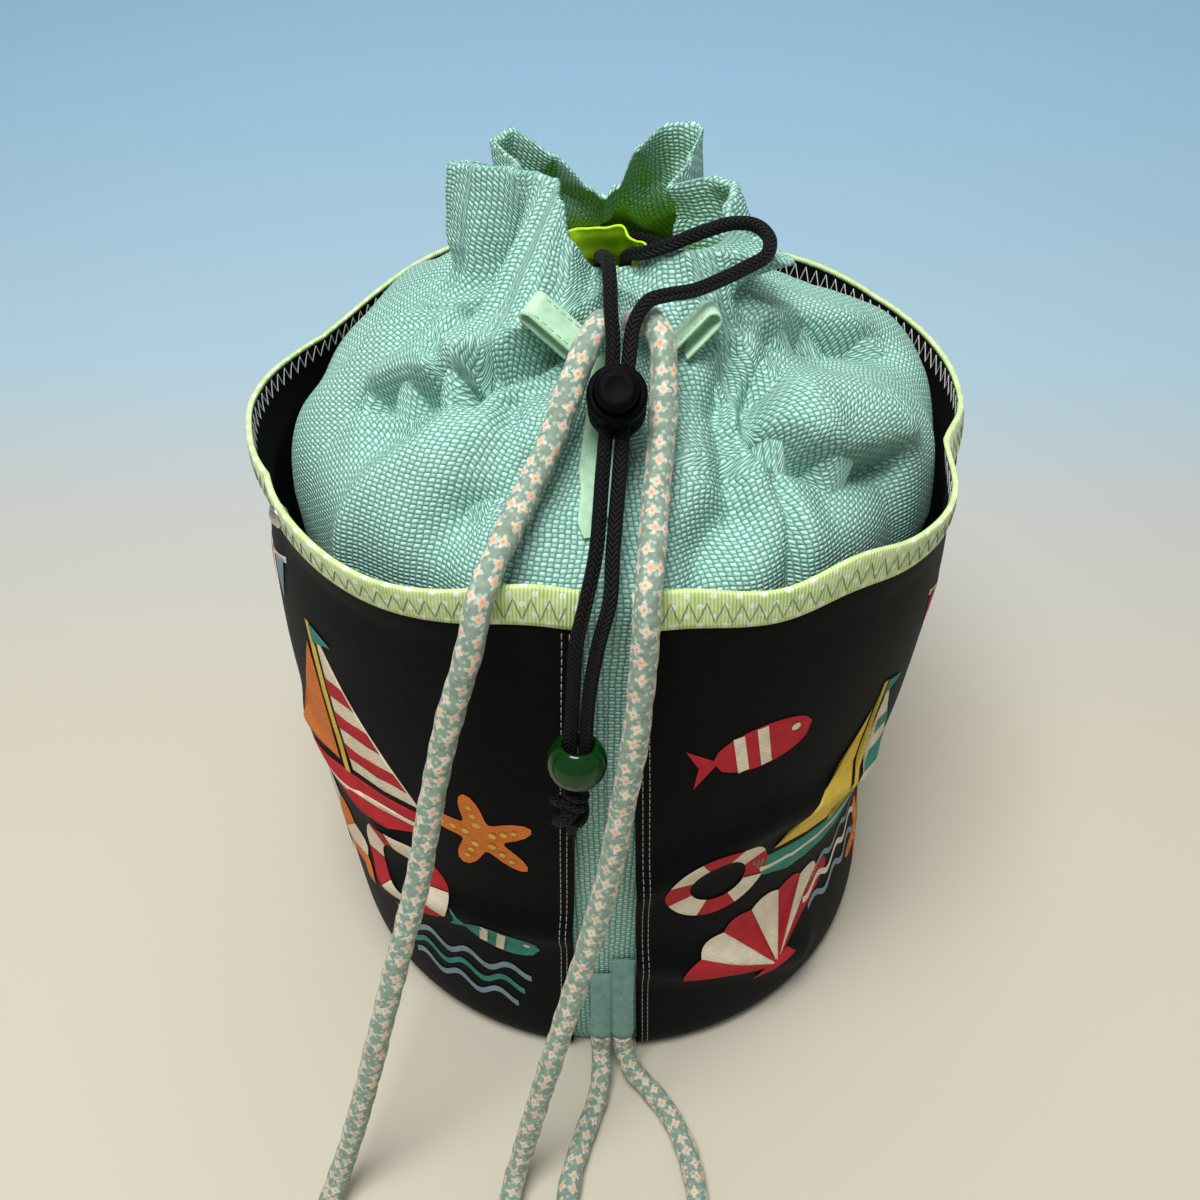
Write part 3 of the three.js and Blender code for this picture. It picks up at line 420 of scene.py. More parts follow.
def nickel_plate(name):
    """Nickel-plated pressed steel: bright, with small scuffs that dull it."""
    finish, add = new_finish(name, Metallic=1.0, Roughness=0.3)
    scuff_size = 1.5
    scuff = add("TexNoise", Vector=add("TexCoord").outputs["Object"], Scale=1 / (scuff_size * MM), Detail=5.0)
    rough = add("MapRange", scuff, 0.3, 0.8, 0.2, 0.45)
    tint = add("ValToRGB", scuff, stops=[(0.3, "#a9a7a0"), (0.7, "#d8d6cf")])
    return to_shader(finish, Base_Color=tint, Roughness=rough)


def sewing_thread(name, pale, deep):
    """Spun polyester thread: a tight twist drawn as fine slants, with a painted highlight on each turn and
    painted shade between them.
    """
    finish, add = new_finish(name, Roughness=0.75)
    twist = 0.9
    turns = ribs(add, slanted(add, add("UVMap", uv_map="cloth")), twist)
    # Painted highlight and shade along the twist, drawn without relief.
    shaded_yarn = add("ValToRGB", add("MapRange", turns, -1.0, 1.0, 0.0, 1.0), stops=[(0.0, deep), (0.8, pale)])
    return to_shader(finish, Base_Color=shaded_yarn)


WEAVE = basketweave_cotton()
BLACK_COTTON = plain_cotton("black_poplin", "#0b0d0f", "#050608", sheen=0.01, gloss=0.04, rough=0.6)
BASE_COTTON = plain_cotton("black_base_poplin", "#131416", "#0a0b0d", gloss=0.12, on_solid=True)
LIME_COTTON = plain_cotton("lime_poplin", "#c2e936", "#a4d21e")
RIBBON = grosgrain_ribbon()
MINT_TAPE = twill_tape("mint_twill_tape", "#bfe0bd", "#97c2a3")
ROPE_SLEEVE = flowered_rope_sleeve()
BRAID = braided_cord()
BLACK_ABS = moulded("moulded_black_abs", ("#030304", "#050506"), 0.6, 0.0, 3.0, 0.05)
GREEN_GLASS = moulded("pressed_green_glass", ("#032905", "#05380a"), 0.12, 0.0, 4.0, 0.4)
NICKEL = nickel_plate("nickel_plated_steel")
SPRING_STEEL = nickel_plate("drawn_spring_steel")
WHITE_THREAD = sewing_thread("white_sewing_thread", "#f1efe8", "#b9b6ab")
EDGE_THREAD = sewing_thread("pale_grey_sewing_thread", "#b4b3aa", "#8a8981")
GREY_THREAD = sewing_thread("grey_sewing_thread", "#8d9083", "#5d6057")
MINT_THREAD = sewing_thread("mint_sewing_thread", "#86b39a", "#6b9a82")
TEAL_TAPE = twill_tape("teal_twill_tape", "#77a094", "#5b8277")


# Cords and straps come first: each follows the points of its solid.
STRAP_RADIUS = 3.8
CORD_RADIUS = 2.0
DRAWCORD_LEFT = [
    (-3.7, -21.75, 286.1), (-3.5, -22.7, 288.3), (-3.4, -26.4, 290.9), (-2.8, -35, 295), (-1.7, -45, 299.3),
    (-0.9, -52, 301), (-0.3, -58, 298.4), (0.1, -64.5, 293.2), (0.8, -72.1, 286.1), (-0.2, -81.9, 276.2),
    (-1.6, -95.9, 262), (-3, -110, 247.6), (-5.2, -117.4, 238.6), (-7.9, -121, 226), (-9, -122.3, 208),
    (-10.4, -124, 183.6), (-10.85, -124.53, 176)]
DRAWCORD_RIGHT = [
    (3.65, -21.75, 286.2), (3.9, -23.2, 289), (5.4, -27.2, 292.2), (9.4, -32.6, 295.2),
    (17.2, -35.2, 299.2), (25.6, -34, 302.2), (34, -32, 303.8), (40, -32.9, 303.5), (43.4, -37.3, 301.7),
    (42.4, -42.9, 299.4), (37, -46.8, 297.8), (29.4, -51, 295.8), (22.2, -55.6, 295), (15.6, -59, 295.4),
    (10, -62.4, 295.2), (6.4, -66.8, 291.3), (5.2, -72.3, 285.9), (4.2, -82.1, 276), (2.8, -96.1, 261.8),
    (1.4, -110.2, 247.4), (0.9, -117.6, 238.4), (-2, -121, 226), (-4.6, -122.3, 208), (-6, -124, 183.6),
    (-6.45, -124.53, 176)]
STRAP_LEFT = [
    (-1.55, -42.8, 277.4), (-3, -57.5, 285.5), (-6.4, -67, 284), (-10.2, -75.5, 277.3), (-15, -84.5, 266.6),
    (-21.8, -96, 256), (-28, -108.5, 247.8), (-32.6, -119, 240.2), (-36, -124, 226), (-43.5, -127, 200),
    (-49.7, -130.5, 173), (-55.6, -136, 144), (-62.6, -143, 118), (-70, -150, 90.6), (-78.5, -156, 58),
    (-87, -160.5, 28), (-92, -164.5, 13.5), (-95.5, -171, 5.6), (-97, -181, 4.2), (-95, -202, 4.2),
    (-82, -229, 4.2), (-58, -243, 4.2), (-33, -236, 4.2), (-18, -214, 4.2), (-13.5, -190, 4.2),
    (-13, -172, 4.2), (-10.7, -155.5, 4.2), (-6.5, -141, 4.2), (-2.4, -128, 4.4), (-1.2, -119, 7.2),
    (-1.4, -113, 12), (-1.4, -111.4, 16.8), (-1.4, -111.2, 21.55)]
STRAP_RIGHT = [
    (6.5, -46.1, 280.6), (11, -59, 287.4), (13.8, -65.5, 285.6), (14.4, -73, 278.6), (14, -84, 267.4),
    (12.6, -96, 256.4), (11.6, -108.5, 247.8), (10.7, -118.5, 240), (9.9, -123, 222), (8.1, -127, 196),
    (4.8, -130, 170), (1.5, -133, 146), (-3.3, -137, 122), (-9.3, -142, 97), (-15.9, -148, 71),
    (-23, -153.5, 41.5), (-28, -157.5, 20), (-31, -162, 9), (-32.6, -170, 4.6), (-33, -182, 4.2),
    (-31, -197, 6.8), (-23, -212, 12.8), (-9, -224, 12.8), (8, -236, 7), (24, -240, 4.2), (38, -229, 4.2),
    (43, -209, 4.2), (39, -188, 4.2), (34.4, -172, 4.2), (32.4, -158, 4.2), (29.5, -146, 4.2),
    (24, -134, 4.2), (17, -124.5, 4.6), (10.6, -118.4, 7.6), (7.3, -113, 12), (6.5, -111.4, 16.8),
    (6.4, -111.2, 21.55)]
RING_END = [(3.8, -21.6, 285.2), (4.9, -20.9, 281.6), (8.4, -18.6, 278.2)]
RING_RADIUS, RING_HEIGHT = 20, 277
RING = RING_END + [(RING_RADIUS * math.sin(a * DEGREE), -RING_RADIUS * math.cos(a * DEGREE), RING_HEIGHT)
                   for a in range(45, 316, 15)]
RING += [(-x, y, z) for x, y, z in reversed(RING_END)]


def free_cord(name, points, radius, finish, slot, sides, step, lumps=0.0, strands=0.0):
    """A cord as a tube on its route. Lumps are the uneven filling of a sewn rope."""
    path = route(points, step)
    run = np.arange(len(path)) * step
    waves = np.sin(run / 5.3) + 0.7 * np.sin(run / 3.1 + 1) + 0.5 * np.sin(run / 11 + 2)
    shape = tube(path, radius * (1 + lumps * waves), sides, strands=strands)
    made = piece(name + "_run", shape[0], shape[1], [finish], "bag", shape[2])
    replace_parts(made, name)
    return made, [tuple(p * MM) for p in path]


ROPE = dict(radius=STRAP_RADIUS, finish=ROPE_SLEEVE, slot="floral_rope", sides=24, step=1.5,
            lumps=0.018, strands=0.035)
BRAIDED = dict(radius=CORD_RADIUS, finish=BRAID, slot="black_braid", sides=16)
strap_left, strap_left_path = free_cord("strap_left", STRAP_LEFT, **ROPE)
strap_right, strap_right_path = free_cord("strap_right", STRAP_RIGHT, **ROPE)
cord_left, cord_left_path = free_cord("drawcord_left", DRAWCORD_LEFT, step=0.8, **BRAIDED)
cord_right, cord_right_path = free_cord("drawcord_right", DRAWCORD_RIGHT, step=0.8, **BRAIDED)
cord_ring, cord_ring_path = free_cord("drawcord_channel", RING, step=1.2, **BRAIDED)

# The body's wall: the same rows, gathers and creases as the solid, on a finer net. Each row up the wall has
# a radius, a height, the gathers' depth, the front valley's depth, the front's fullness and the sides' puff.
BODY_CLOTH = 2.0
BODY_ROWS = np.array([
    (100.6, 0.6, 0, 0, 0, 0), (105, 10, 0, 0, 0, 0), (106, 45, 0, 0, 0, 0), (105.5, 90, 0, 0, 2.5, 0),
    (106, 140, 0, 0, 5, 0), (106.5, 185, 0.3, 0, 5, 0), (107.5, 212, 0.8, 0.5, 4.5, 0),
    (105, 230, 1.8, 1, 6.5, 1), (98, 243, 3.2, 8, 5, 4), (88, 253.5, 5, 11, 2, 6),
    (76, 262.5, 7, 11, 0, 6.5), (64, 269.5, 10, 8.5, 0, 5), (53, 274.5, 12.5, 5, 0, 3),
    (44.5, 278.5, 14, 2, 0, 1), (40, 284, 14.5, 0, 0, 0)])
SHOULDER_ROW, NECK_ROW, NECK_Z = 6, 14, 284.0
PLEAT_ROW = 13.5  # where the gathers pleat most
# Bearings of the gathers' valleys, how far the lobes between them stand out, and small waves: count, turn
# and size.
VALLEYS = np.array([0, 72, 124, 188, 248, 298, 360])
LOBE_SIZE = np.array([0.8, 0.35, 0.8, 0.85, 0.75, 0.9])
RIPPLES = [(17, 1.3, 0.06), (26, 0.4, 0.04)]
# The ruffle's hem: bearing, radius and height.
RUFFLE_HEM = np.array([
    (0, 26, 285), (12, 30, 287.5), (24, 38, 295), (36, 47, 297), (46, 57, 297), (56, 62, 293),
    (66, 54, 290), (78, 38, 291), (90, 36, 295), (103, 40, 298), (113, 36, 298), (124, 22, 296),
    (136, 36, 300), (148, 53, 304), (158, 48, 304), (166, 34, 301), (176, 24, 292), (190, 20, 290),
    (202, 24, 292), (212, 40, 298), (222, 52, 304), (232, 50, 304), (242, 36, 301), (252, 34, 301),
    (262, 48, 305), (270, 50, 307), (280, 42, 309), (292, 33, 310), (306, 28, 310), (320, 27, 310),
    (330, 31, 306), (340, 36, 297), (350, 31, 287.5)])
HEM_ROW = 17
# Bells round the bag: bearing, width and size. Pinches: bearing, width, height, spread and depth.
FULL_FRONT = [(0, 30, 1)]
FRONT_VALLEY = [(0, 10, 1)]
SHOULDER_PUFF = [(82, 40, 0.9), (-90, 46, -0.9)]
PINCHES = [(70, 37, 72, 37, 7), (-75, 34, 100, 34, 2)]
# Broad creases of the shoulder: path as bearing and radius, width and depth, which is below zero for a rise.
CREASES = [
    ([(-21, 54), (-30, 64), (-42, 80), (-50, 90)], 8, 8),
    ([(-17, 58), (-20, 72), (-24, 93), (-27, 101)], 7.5, 5.5),
    ([(24, 66), (23, 82), (22, 92), (17, 100)], 7, 5),
    ([(34, 62), (33, 80), (35, 88), (40, 94), (54, 99)], 8, 9),
    ([(40, 60), (52, 63), (62, 69), (80, 80)], 8, 7), ([(29, 94), (28, 106)], 7, 2.5),
    ([(108, 50), (112, 72), (110, 95)], 8, 6), ([(140, 52), (136, 74), (141, 98)], 7, 5),
    ([(166, 50), (171, 70), (165, 92)], 8, 6), ([(198, 50), (194, 75), (199, 99)], 7, 5),
    ([(226, 50), (231, 76), (226, 94)], 8, 6), ([(262, 56), (265, 72), (266, 88)], 19, 11),
    ([(44, 72), (54, 85), (68, 98)], 12, -5), ([(-35, 70), (-34, 86), (-38, 98), (-44, 105)], 9, -3),
    ([(-55, 68), (-70, 78), (-72, 94)], 11, -2.5), ([(112, 58), (132, 84)], 28, 8)]
# Sharper folds in the shoulder's cloth: path as bearing and radius, width, depth, and the lip that rises
# beside it, on the path's left seen from above, or on its right where it is below zero.
FOLDS = [
    ([(-18, 46), (-22, 47), (-26, 50), (-30, 54), (-34, 61), (-35, 66)], 2.6, 9, -4.5),
    ([(-35, 66), (-41, 72), (-49, 80), (-58, 89)], 2.4, 7, -8),
    ([(-49, 58), (-48, 64), (-41, 66)], 3.5, 4, 0), ([(-78, 70), (-66, 60), (-56, 54)], 2.8, 6, -5),
    ([(-25, 62), (-23, 70)], 3, 4, 2), ([(-16, 85), (-18, 90), (-24, 95)], 5, 6, 0),
    ([(-36, 75), (-38, 88), (-44, 101), (-45, 106)], 5, -3, 0),
    ([(33, 81), (36, 86), (43, 93), (52, 97), (57, 99)], 2.4, 7, 8.5),
    ([(38, 62), (34, 66), (31, 73), (32, 79)], 3, 6, 2.5),
    ([(50, 54), (55, 57), (66, 66), (74, 73), (80, 79)], 2.6, 5, 5),
    ([(35, 50), (30, 58), (25, 68)], 3, 5, 3), ([(25, 75), (24, 80), (23, 86)], 4, 5, 0),
    ([(32, 88), (31, 97), (29, 105)], 2.0, 3, 2.0), ([(22, 95), (17, 97), (14, 101)], 6, 6, 0)]


def bells(places, deg):
    """Sum of bell curves, each a bearing, a width and a size."""
    return sum(size * np.exp(-(((deg - at + 540) % 360 - 180) / width) ** 2) for at, width, size in places)


def polar(deg, radius, z):
    """Points at a bearing, radius and height. Bearing 0 is the front, and it grows towards +X."""
    deg, radius, z = np.broadcast_arrays(deg, radius, z)
    return np.stack([radius * np.sin(deg * DEGREE), -radius * np.cos(deg * DEGREE), z], -1)


def between_rows(table, row):
    """Values smoothly between the rows of a table."""
    table = np.asarray(table, float)
    last = len(table) - 1
    row = np.asarray(row, float)
    low = np.clip(np.floor(row).astype(int), 0, last - 1)
    f = (row - low)[..., None] if table.ndim > 1 else row - low
    a, b, c, d = (table[np.clip(low + k, 0, last)] for k in (-1, 0, 1, 2))
    return b + ((c - a) * f + (2 * a - 5 * b + 4 * c - d) * f ** 2 + (3 * b - a - 3 * c + d) * f ** 3) / 2


def between(table, row):
    """Values on straight lines between the rows of a table."""
    return np.interp(row, np.arange(len(table)), table)


def gather(deg):
    """Wave of the gathers: -1 in a valley, up to the lobe's size on its crest."""
    deg = deg % 360
    lobe = np.clip(np.searchsorted(VALLEYS, deg, side="right") - 1, 0, len(LOBE_SIZE) - 1)
    share = (deg - VALLEYS[lobe]) / (VALLEYS[lobe + 1] - VALLEYS[lobe])
    waves = sum(size * np.cos(count * deg * DEGREE + turn) for count, turn, size in RIPPLES)
    return (1 + LOBE_SIZE[lobe]) * np.sin(np.pi * np.clip(share, 0, 1)) ** 0.8 - 1 + waves


def pinch(deg, z):
    """How far the shoulder is drawn in at a bearing and height."""
    return sum(depth * bells([(at, width, 1)], deg) * np.exp(-((z - high) / spread) ** 2)
               for at, width, high, spread, depth in PINCHES)


def from_path(place, path):
    """Distance of flat places from a path, how far they lie to its left, and how far past its ends."""
    away, left, past = np.full(place.shape[:-1], 1e9), np.zeros(place.shape[:-1]), np.zeros(place.shape[:-1])
    for k, (a, b) in enumerate(zip(path, path[1:])):
        long = np.linalg.norm(b - a)
        share = ((place - a) @ (b - a)) / long ** 2
        low, high = (0, -1e9)[k == 0], (1, 1e9)[k == len(path) - 2]
        over = np.abs(share - np.clip(share, 0, 1)) * long * (share == np.clip(share, low, high))
        off = place - a - np.clip(share, 0, 1)[..., None] * (b - a)
        near = np.linalg.norm(off, axis=-1)
        closer = near < away
        left = np.where(closer, ((b - a)[0] * off[..., 1] - (b - a)[1] * off[..., 0]) / long, left)
        past = np.where(closer, over, past)
        away = np.minimum(away, near)
    return away, left, past


def lip_height(left, past, width, lip):
    """Height of the cloth that hangs over a fold: steep beside it, gentle beyond, and gone past its ends."""
    reach = np.maximum(left * np.sign(lip), 0)
    rise = (1 - np.exp(-(reach / width) ** 2)) * np.exp(-(reach / (5 * width)) ** 2)
    return abs(lip) * rise * np.exp(-(past / (2.5 * width)) ** 2)


def crease_depth(row, deg, folds):
    """Depth of the shoulder's creases and folds, by the distance from each path seen from above."""
    place = polar(deg, between_rows(BODY_ROWS[:, 0], np.minimum(row, NECK_ROW)), 0)[..., :2]
    total = 0
    for path, width, depth, lip in [(*crease, 0) for crease in CREASES] + folds:
        away, left, past = from_path(place, [polar(at, radius, 0)[:2] for at, radius in path])
        total = total + depth * np.exp(-(away / width) ** 2) - lip_height(left, past, width, lip)
    fade = np.clip((row - SHOULDER_ROW + 0.6) / 0.6, 0, 1) * np.clip(NECK_ROW + 0.2 - row, 0, 1)
    return total * fade


def hem_at(deg, column):
    """Radius or height of the ruffle's hem at a bearing, smoothly between the listed ones."""
    near = np.vstack([RUFFLE_HEM[-1:] - (360, 0, 0), RUFFLE_HEM, RUFFLE_HEM[:2] + (360, 0, 0)])
    deg = deg % 360
    k = np.clip(np.searchsorted(near[:, 0], deg, side="right") - 1, 0, len(near) - 2)
    f = (deg - near[k, 0]) / (near[k + 1, 0] - near[k, 0])
    return near[k, column] + (near[k + 1, column] - near[k, column]) * f * f * (3 - 2 * f)


def body_radius(row, deg):
    """Radius of the body's wall before its creases, folds and wrinkles."""
    values = between_rows(BODY_ROWS, np.minimum(row, NECK_ROW))
    radius, z, depth, valley, fullness, puff = (values[..., k] for k in range(6))
    front = fullness * bells(FULL_FRONT, deg) - valley * bells(FRONT_VALLEY, deg)
    wall = radius + depth * gather(deg) + front + puff * bells(SHOULDER_PUFF, deg) - pinch(deg, z)
    rise = np.clip((row - NECK_ROW) / (HEM_ROW - NECK_ROW), 0, 1)
    return wall + (hem_at(deg, 1) - wall) * rise


def body_point(row, deg, offset=0.0, plain=False):
    """Point on the body's wall, or out from it. A plain one leaves the folds, pleats and wrinkles out."""
    row, deg = np.broadcast_arrays(np.asarray(row, float), np.asarray(deg, float))
    above = between_rows(BODY_ROWS, np.minimum(row + 0.5, NECK_ROW))
    below = between_rows(BODY_ROWS, np.clip(row - 0.5, 0, NECK_ROW - 0.5))
    out = np.stack([above[..., 1] - below[..., 1], below[..., 0] - above[..., 0]], -1)
    upright = np.clip(row - NECK_ROW + 1, 0, 1)[..., None]
    out = out / np.linalg.norm(out, axis=-1)[..., None] * (1 - upright) + np.array([1, 0]) * upright
    out = out / np.linalg.norm(out, axis=-1)[..., None]
    z = between_rows(BODY_ROWS[:, 1], np.minimum(row, NECK_ROW))
    share = (row - NECK_ROW) / (HEM_ROW - NECK_ROW)
    rise = np.where(row > NECK_ROW, NECK_Z + (hem_at(deg, 2) - NECK_Z) * share, z)
    wrinkle = 0.35 * np.sin(deg / 3.1 + 2.2 * row) * np.sin(deg / 7.7 - 1.3 * row + 1)
    wrinkle = wrinkle * np.clip((row - SHOULDER_ROW) / 2, 0, 1)
    pleats = 1.1 * np.sin(23 * deg * DEGREE + 0.4 * row + 1.1) + 0.7 * np.sin(37 * deg * DEGREE - 0.5 * row)
    pleats = pleats * np.exp(-((row - PLEAT_ROW) / np.where(row > PLEAT_ROW, 2.8, 1.8)) ** 2)
    small = 0 if plain else wrinkle + pleats
    away = offset - crease_depth(row, deg, [] if plain else FOLDS) + small
    return polar(deg, body_radius(row, deg) + away * out[..., 0], rise + away * out[..., 1])


# Teal body: outside up to the ruffle's rolled hem, then down the inside. Each lobe's weave starts at its
# crest, so that the threads keep their size and meet in the valleys.
BODY_COLUMNS = 450
HEM_ROLL = 1.2  # how much thicker the rolled hem is
outer_rows = np.r_[np.arange(0, SHOULDER_ROW, 0.5), np.arange(SHOULDER_ROW, NECK_ROW, 0.08),
                   np.arange(NECK_ROW, HEM_ROW + 0.01, 0.15)]
inner_rows = np.r_[np.arange(HEM_ROW, 12, -0.25), np.arange(12, -0.1, -1)]
bearings = np.linspace(0, 360, BODY_COLUMNS + 1)
outside = body_point(outer_rows[:, None], bearings[None], 0.0)
hem_in = BODY_CLOTH + HEM_ROLL * np.clip(inner_rows - 15.6, 0, 1)
inside = body_point(inner_rows[:, None], bearings[None], -hem_in[:, None])
roll = [body_point(HEM_ROW, bearings, -at) + np.array([0, 0, lift])
        for at, lift in ((0.5, 0.9), (1.6, 1.4), (2.7, 0.9))]
body_net = np.concatenate([outside, np.array(roll), inside])
plain_rows = np.r_[outer_rows, [HEM_ROW] * len(roll), inner_rows]
plain_net = body_point(plain_rows[:, None], bearings[None], 0.0, True)
around = (lengths(plain_net, 1) + lengths(body_net, 1)) / 2
up = (lengths(plain_net, 0) + lengths(body_net, 0)) / 2
crest = (VALLEYS[:-1] + VALLEYS[1:]) / 2
sector = np.clip(np.searchsorted(VALLEYS, bearings[:-1] + 0.5, side="right") - 1, 0, len(crest) - 1)
level = around[8]  # a line round the straight wall
start = np.array([np.interp(c, bearings, level) for c in crest])
middle = np.stack([[np.interp(c, bearings, line) for c in crest] for line in around])
left = start[sector] + around[:, :-1] - middle[:, sector]
right = start[sector] + around[:, 1:] - middle[:, sector]
cloth = net_cloth(np.vstack([left, left[:1]]), np.vstack([right, right[:1]]),
                  np.vstack([up[:, :-1], up[-1:, :-1] + 2]), np.vstack([up[:, 1:], up[-1:, 1:] + 2]))
body_faces = net_faces(len(body_net), BODY_COLUMNS, True, True)
body = piece("body_cloth", body_net[:, :-1], body_faces, [WEAVE], cloth=cloth)
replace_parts(body, "bag_body")

# Lime lining: a cup with a soft collar that stands in the mouth. Each row has a radius and a height.
LINING_ROWS = np.array([
    (97.2, 3.6), (101.6, 14), (102.6, 45), (102.2, 90), (102.6, 190), (88, 228), (62, 246), (38, 258),
    (21, 265), (15.2, 271.5), (14.5, 277.5), (14.6, 281.5), (15.5, 285)])
LINING_COLUMNS, LINING_CLOTH = 180, 1.0
COLLAR_SHIFT = (-6, -7)


def lining_point(row, deg, inset):
    """Point on the lining, or in from it. Its collar leans towards the front left."""
    row, deg = np.broadcast_arrays(np.asarray(row, float), np.asarray(deg, float))
    straight = np.stack([between(LINING_ROWS[:, k], row) for k in (0, 1)], -1)
    smooth = np.where((row >= 5)[..., None], between_rows(LINING_ROWS, row), straight)
    radius, z = smooth[..., 0], smooth[..., 1]
    lean = np.clip((row - 9) / 3, 0, 1)
    fold = lean * (0.6 * np.sin(5 * deg * DEGREE + 0.6) + 0.4 * np.sin(8 * deg * DEGREE))
    soft = lean * 0.5 * np.sin(13 * deg * DEGREE + row)
    point = polar(deg, radius + fold + soft - inset - pinch(deg, z), z + fold + np.where(row < 0.5, inset, 0))
    return point + np.stack([COLLAR_SHIFT[0] * lean, COLLAR_SHIFT[1] * lean, 0 * lean], -1)


lining_rows = np.r_[np.arange(0, 5, 0.5), np.arange(5, 12.01, 0.2)]
lining_bearings = np.linspace(0, 360, LINING_COLUMNS + 1)
lining_out = lining_point(lining_rows[:, None], lining_bearings[None], 0.0)
lining_in = lining_point(lining_rows[::-1, None], lining_bearings[None], LINING_CLOTH)
lip = lining_point(np.array([12.0]), lining_bearings[None], LINING_CLOTH / 2) + np.array([0, 0, 0.5])
lining_net = np.concatenate([lining_out, lip, lining_in])
lining_cloth = open_cloth(lengths(lining_net, 1), lengths(lining_net, 0))
lining_points = lining_net[:, :-1].reshape(-1, 3)
lining_faces = net_faces(len(lining_net), LINING_COLUMNS, False, True).tolist()
# Its round bottom is two fans of triangles, outside and inside.
ends, inner_ring = len(lining_points), len(lining_points) - LINING_COLUMNS
bottom_radius, bottom_z = LINING_ROWS[0]
floor_cloth = []
for hub, ring, order in ((ends, 0, (1, 0)), (ends + 1, inner_ring, (0, 1))):
    for column in range(LINING_COLUMNS):
        lining_faces.append([hub] + [ring + (column + k) % LINING_COLUMNS for k in order])
        rim = [tuple(polar(360 / LINING_COLUMNS * (column + k), bottom_radius, 0)[:2]) for k in order]
        floor_cloth += [(0, 0)] + rim
lining_points = np.vstack([lining_points, (0, 0, bottom_z), (0, 0, bottom_z + LINING_CLOTH)])
lining = piece("lining_cloth", lining_points, lining_faces, [LIME_COTTON],
               cloth=np.vstack([lining_cloth, floor_cloth]))
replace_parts(lining, "lining")

# Black outer pocket, loose over the body and open along the front strip. Each row has its slack all round
# and the slack that the left side adds. Bells have a bearing, a width and a size.
POCKET_ROWS = np.array([(0.1, 0), (0.2, 0.8), (0.8, 2.8), (2, 7.4), (5, 6.4), (8, 2), (8, -1.2), (11.5, 1.5)])
POCKET_CLOTH, SEAM_GAP = 1.6, 0.75
POCKET_FLAT_FRONT = [(0, 34, 1)]
POCKET_LEFT = [(-82, 46, 1)]
RIM_WAVES = [(-32, 24, 3.2), (-112, 26, -3), (46, 26, 2), (71, 10, -6), (92, 28, -4), (140, 22, 1.6)]
RIM_RISES = [
    (-11, 9, 5.8), (11, 6, 2.3), (24, 6, -1.5), (36, 8, 4.6), (-35, 9, -3), (-112, 28, -7), (-150, 22, 4)]
RIM_SHARE = np.array([0, 0, 0, 0, 0, 0, 0.3, 1.0])
POCKET_Z = np.r_[BODY_ROWS[:7, 1], BODY_ROWS[7, 1] + 4]
BAND_ROW, RIM_ROW = 6.0, 7.0
STRIP_RIGHT, STRIP_LEFT = (6.6, 3.4), (6.9, 3.7)  # bearings of the front edges at the floor and at the rim
PRINT_RADIUS = 110.0  # at which a bearing is turned into a length on the flat cloth
# Soft ridges in the pocket's cloth: path as bearing and height, width and rise.
POCKET_RIDGES = [
    ([(4, 104), (15, 120), (30, 129), (54, 121)], 8, 3.5), ([(5, 62), (26, 48), (44, 27)], 8, 3.5),
    ([(-50, 64), (-33, 78), (-19, 79), (-7, 82)], 8, 3.5), ([(-66, 124), (-51, 112), (-41, 103)], 8, 3)]


def pocket_value(table, row):
    """Value of a table at a pocket row: smooth up to the band below the rim, then straight."""
    return np.where(row > BAND_ROW, between(table, row), between_rows(table, row))


def pocket_point(row, deg, out=0.0):
    """Point on the pocket's face, or out from it, at a row from 0 at the floor to 7 at the rim."""
    row, deg = np.broadcast_arrays(np.asarray(row, float), np.asarray(deg, float))
    loose, side = (pocket_value(POCKET_ROWS[:, k], row) for k in (0, 1))
    slack = loose * (1 - bells(POCKET_FLAT_FRONT, deg)) + side * bells(POCKET_LEFT, deg)
    share = between(RIM_SHARE, row)
    small = 0.8 * np.sin(7 * deg * DEGREE + 0.7) * (1 - bells(POCKET_FLAT_FRONT, deg))
    wave = share * (bells(RIM_WAVES, deg) + small)
    rise = share * (bells(RIM_RISES, deg) + 0.9 * np.sin(6 * deg * DEGREE))
    z = pocket_value(POCKET_Z, row)
    place = np.stack([((deg + 180) % 360 - 180) * DEGREE * PRINT_RADIUS, z], -1)
    lift = 0
    for path, width, high in POCKET_RIDGES:
        line = [np.array([at * DEGREE * PRINT_RADIUS, up]) for at, up in path]
        lift = lift + high * np.exp(-(from_path(place, line)[0] / width) ** 2)
    return polar(deg, body_radius(row, deg) + SEAM_GAP + POCKET_CLOTH + slack + wave + lift + out, z + rise)


def strip_edges(row):
    """Bearings of the pocket's two front edges at a row."""
    high = between(POCKET_Z, row) / POCKET_Z[-1]
    right, left = (low + (top - low) * high for low, top in (STRIP_RIGHT, STRIP_LEFT))
    return right, 360 - left


def pocket_net(rows, share, out):
    """Points of the pocket over rows and shares of the way round, from the right edge to the left one."""
    first, last = strip_edges(rows)
    deg = first[:, None] + (last - first)[:, None] * share[None]
    return pocket_point(rows[:, None] + 0 * deg, deg, out), deg


shares = np.linspace(0, 1, 351)
pocket_rows = np.r_[np.arange(0, 2, 0.1), np.arange(2, BAND_ROW, 0.08),
                    np.arange(BAND_ROW, RIM_ROW + 0.01, 0.1)]
face, face_deg = pocket_net(pocket_rows, shares, 0.0)
